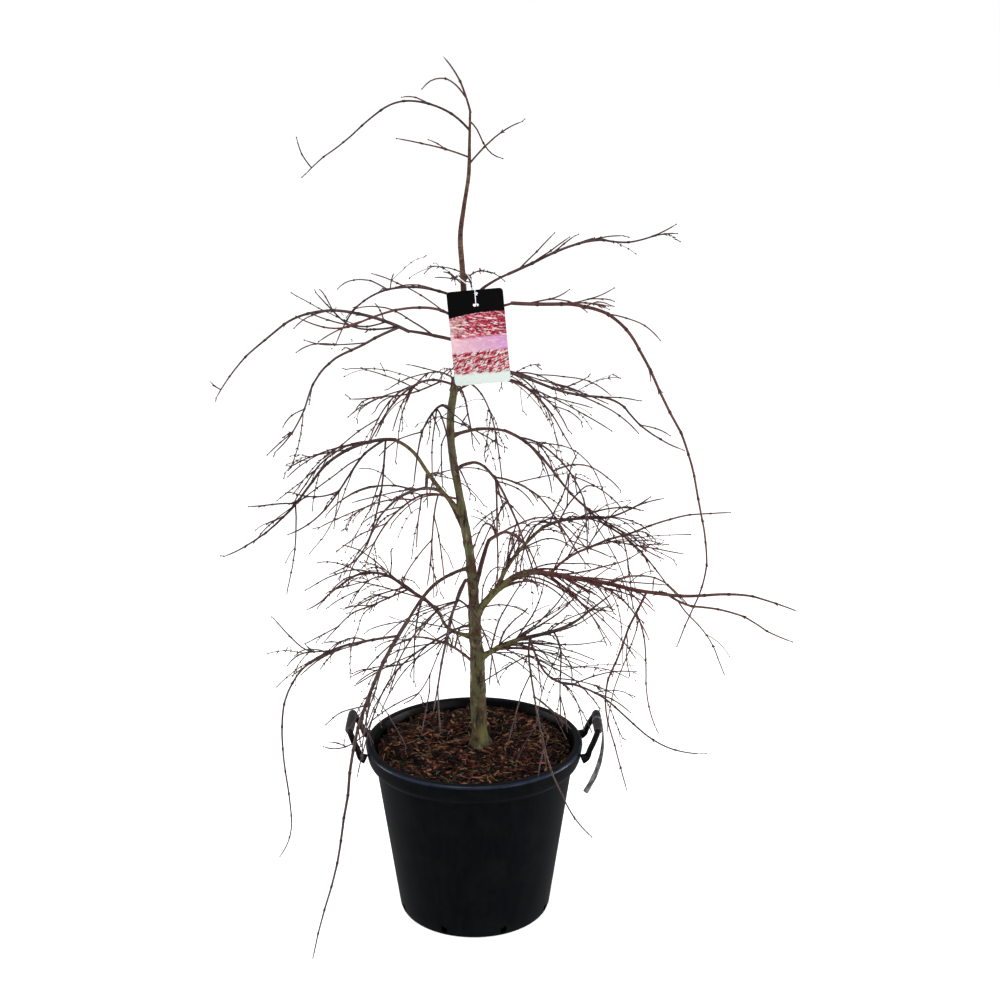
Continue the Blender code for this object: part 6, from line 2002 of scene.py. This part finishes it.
def make_sprays(crown, finishes, bud_surface):
    """Each mass again: its limbs as fine tubes, then companions, forks, forks of those, spurs and buds."""
    tree = KDTree(len(crown.points))
    for k, point in enumerate(crown.points):
        tree.insert(point, k)
    tree.balance()
    buds = Surfaces()
    for number, (node, limbs) in enumerate(SPRAYS.items()):
        names = [name for name, grown in crown.limbs.items() if grown.node == node]
        room = Room(crown, tree, {node} | {limb.parent for limb in limbs if limb.at == "end"})
        per_metre, fork_share = CARRIED_ON.get(node, CARRIED_ON_ELSE)
        starts = COMPANION_NEAR_START if node in NEAR_MASSES else COMPANION_START
        draws = np.random.default_rng(200 + number)
        made = Surfaces()
        for name in names:
            if node in OPEN_MASSES and " side " in name and draws.random() < OPEN_MASSES[node]:
                continue
            add_limb(made, crown.limbs[name], grows_on(name))
        places, ahead, radii = spray_joints(crown, names)
        heart = heart_share(np.hypot(places[:, 0], places[:, 1]), places[:, 2])
        chance = fork_share * (FORK_CHANCE[0] + (FORK_CHANCE[1] - FORK_CHANCE[0]) * heart)
        length = FORK_LENGTH[0] + (FORK_LENGTH[1] - FORK_LENGTH[0]) * heart * draws.random(len(heart))
        forked = forks(draws, FORKS, places, ahead, radii, chance, length)
        beside = companions(draws, long_paths(crown, names), per_metre, starts)
        tips = [np.array([crown.limbs[name].line[-2:] for name in names])]
        feet = [(places, ahead, radii)]
        for twigs in (forked, beside):
            lines, thin = clear_of_others(room, *twigs)
            if len(lines):
                more_tips, joints = add_finer(made, draws, room, lines, thin)
                tips += more_tips
                feet.append(joints)
        tips = np.concatenate(tips)
        ends = unit(tips[:, 1] - tips[:, 0])
        count = len(tips)
        spurs = forks(draws, SPURS, tips[:, 1], ends, np.full(count, FORK_FOOT_R), SPUR_CHANCE,
                      np.full(count, SPUR_LENGTH))
        spurs = clear_of_others(room, *spurs)
        add_tubes(made, *spurs, FORK_SIDES)
        for ends in (tips, spurs[0][:, -2:]):
            aim = unit(ends[:, 1] - ends[:, 0])
            add_buds(buds, ends[:, 1], aim, draws.uniform(*TIP_BUD_LENGTH, len(aim)), TIP_BUD_R)
        for joints in feet:
            foot, aim = bud_pairs(draws, *joints)
            size = draws.uniform(*SIDE_BUD_LENGTH, len(foot))
            size = size * np.where(draws.random(len(foot)) < LONG_BUD_CHANCE, LONG_BUD, 1.0)
            add_buds(buds, foot, aim, size, SIDE_BUD_R)
        make_piece(f"{node}_bare", made, [finishes[number % len(finishes)]], [node])
    make_piece("twig_buds", buds, [bud_surface], list(SPRAYS))


# Stage


def make_stage():
    """Pale floor, white surround, soft lamps and the camera at the photograph's angle."""
    half = FLOOR_HALF
    mesh = bpy.data.meshes.new("floor")
    corners = [(-half, -half, 0), (half, -half, 0), (half, half, 0), (-half, half, 0)]
    mesh.from_pydata(corners, [], [(0, 1, 2, 3)])
    mesh.materials.append(floor_finish())
    floor = placed("floor", mesh)
    floor.visible_glossy = False
    scene.world = surround()
    for name, place, aim, size, power in LAMPS:
        lamp = bpy.data.lights.new(name, "AREA")
        lamp.size = size
        lamp.energy = power
        made = placed(name, lamp)
        made.location = place
        made.rotation_euler = (Vector(aim) - Vector(place)).to_track_quat("-Z", "Y").to_euler()
    camera = bpy.data.cameras.new("camera")
    camera.lens = CAMERA_LENS
    camera.sensor_width = CAMERA_SENSOR
    eye = placed("camera", camera)
    eye.location = CAMERA_PLACE
    eye.rotation_euler = (math.radians(90 - CAMERA_DOWN), 0, 0)
    scene.camera = eye
    scene.view_settings.view_transform = "Standard"


def main():
    make_stage()
    make_pot(pot_finish())
    plastics = (pot_finish(), plain_finish("grip dark plastic"))
    make_handle("handle_left", -1, plastics)
    make_handle("handle_right", 1, plastics)
    make_bed(plain_finish("mulch earth"))
    make_chips()
    make_tag([card_finish(), plain_finish("card back")])
    make_elastic(plain_finish("white elastic"))
    make_strip(plain_finish("damp white paper"))
    crown = grown_crown()
    make_trunk(crown, bark_finish())
    barks = (("red brown bark", 0.03, 0.07), ("mossy bark", 0.12, 0.24))
    make_boughs(crown, [young_bark_finish(*row) for row in barks])
    tints = [twig_finish(*row) for row in TWIG_TINTS]
    make_sprays(crown, tints, twig_finish("bud maroon", (52, 26, 28), (70, 36, 30)))


main()
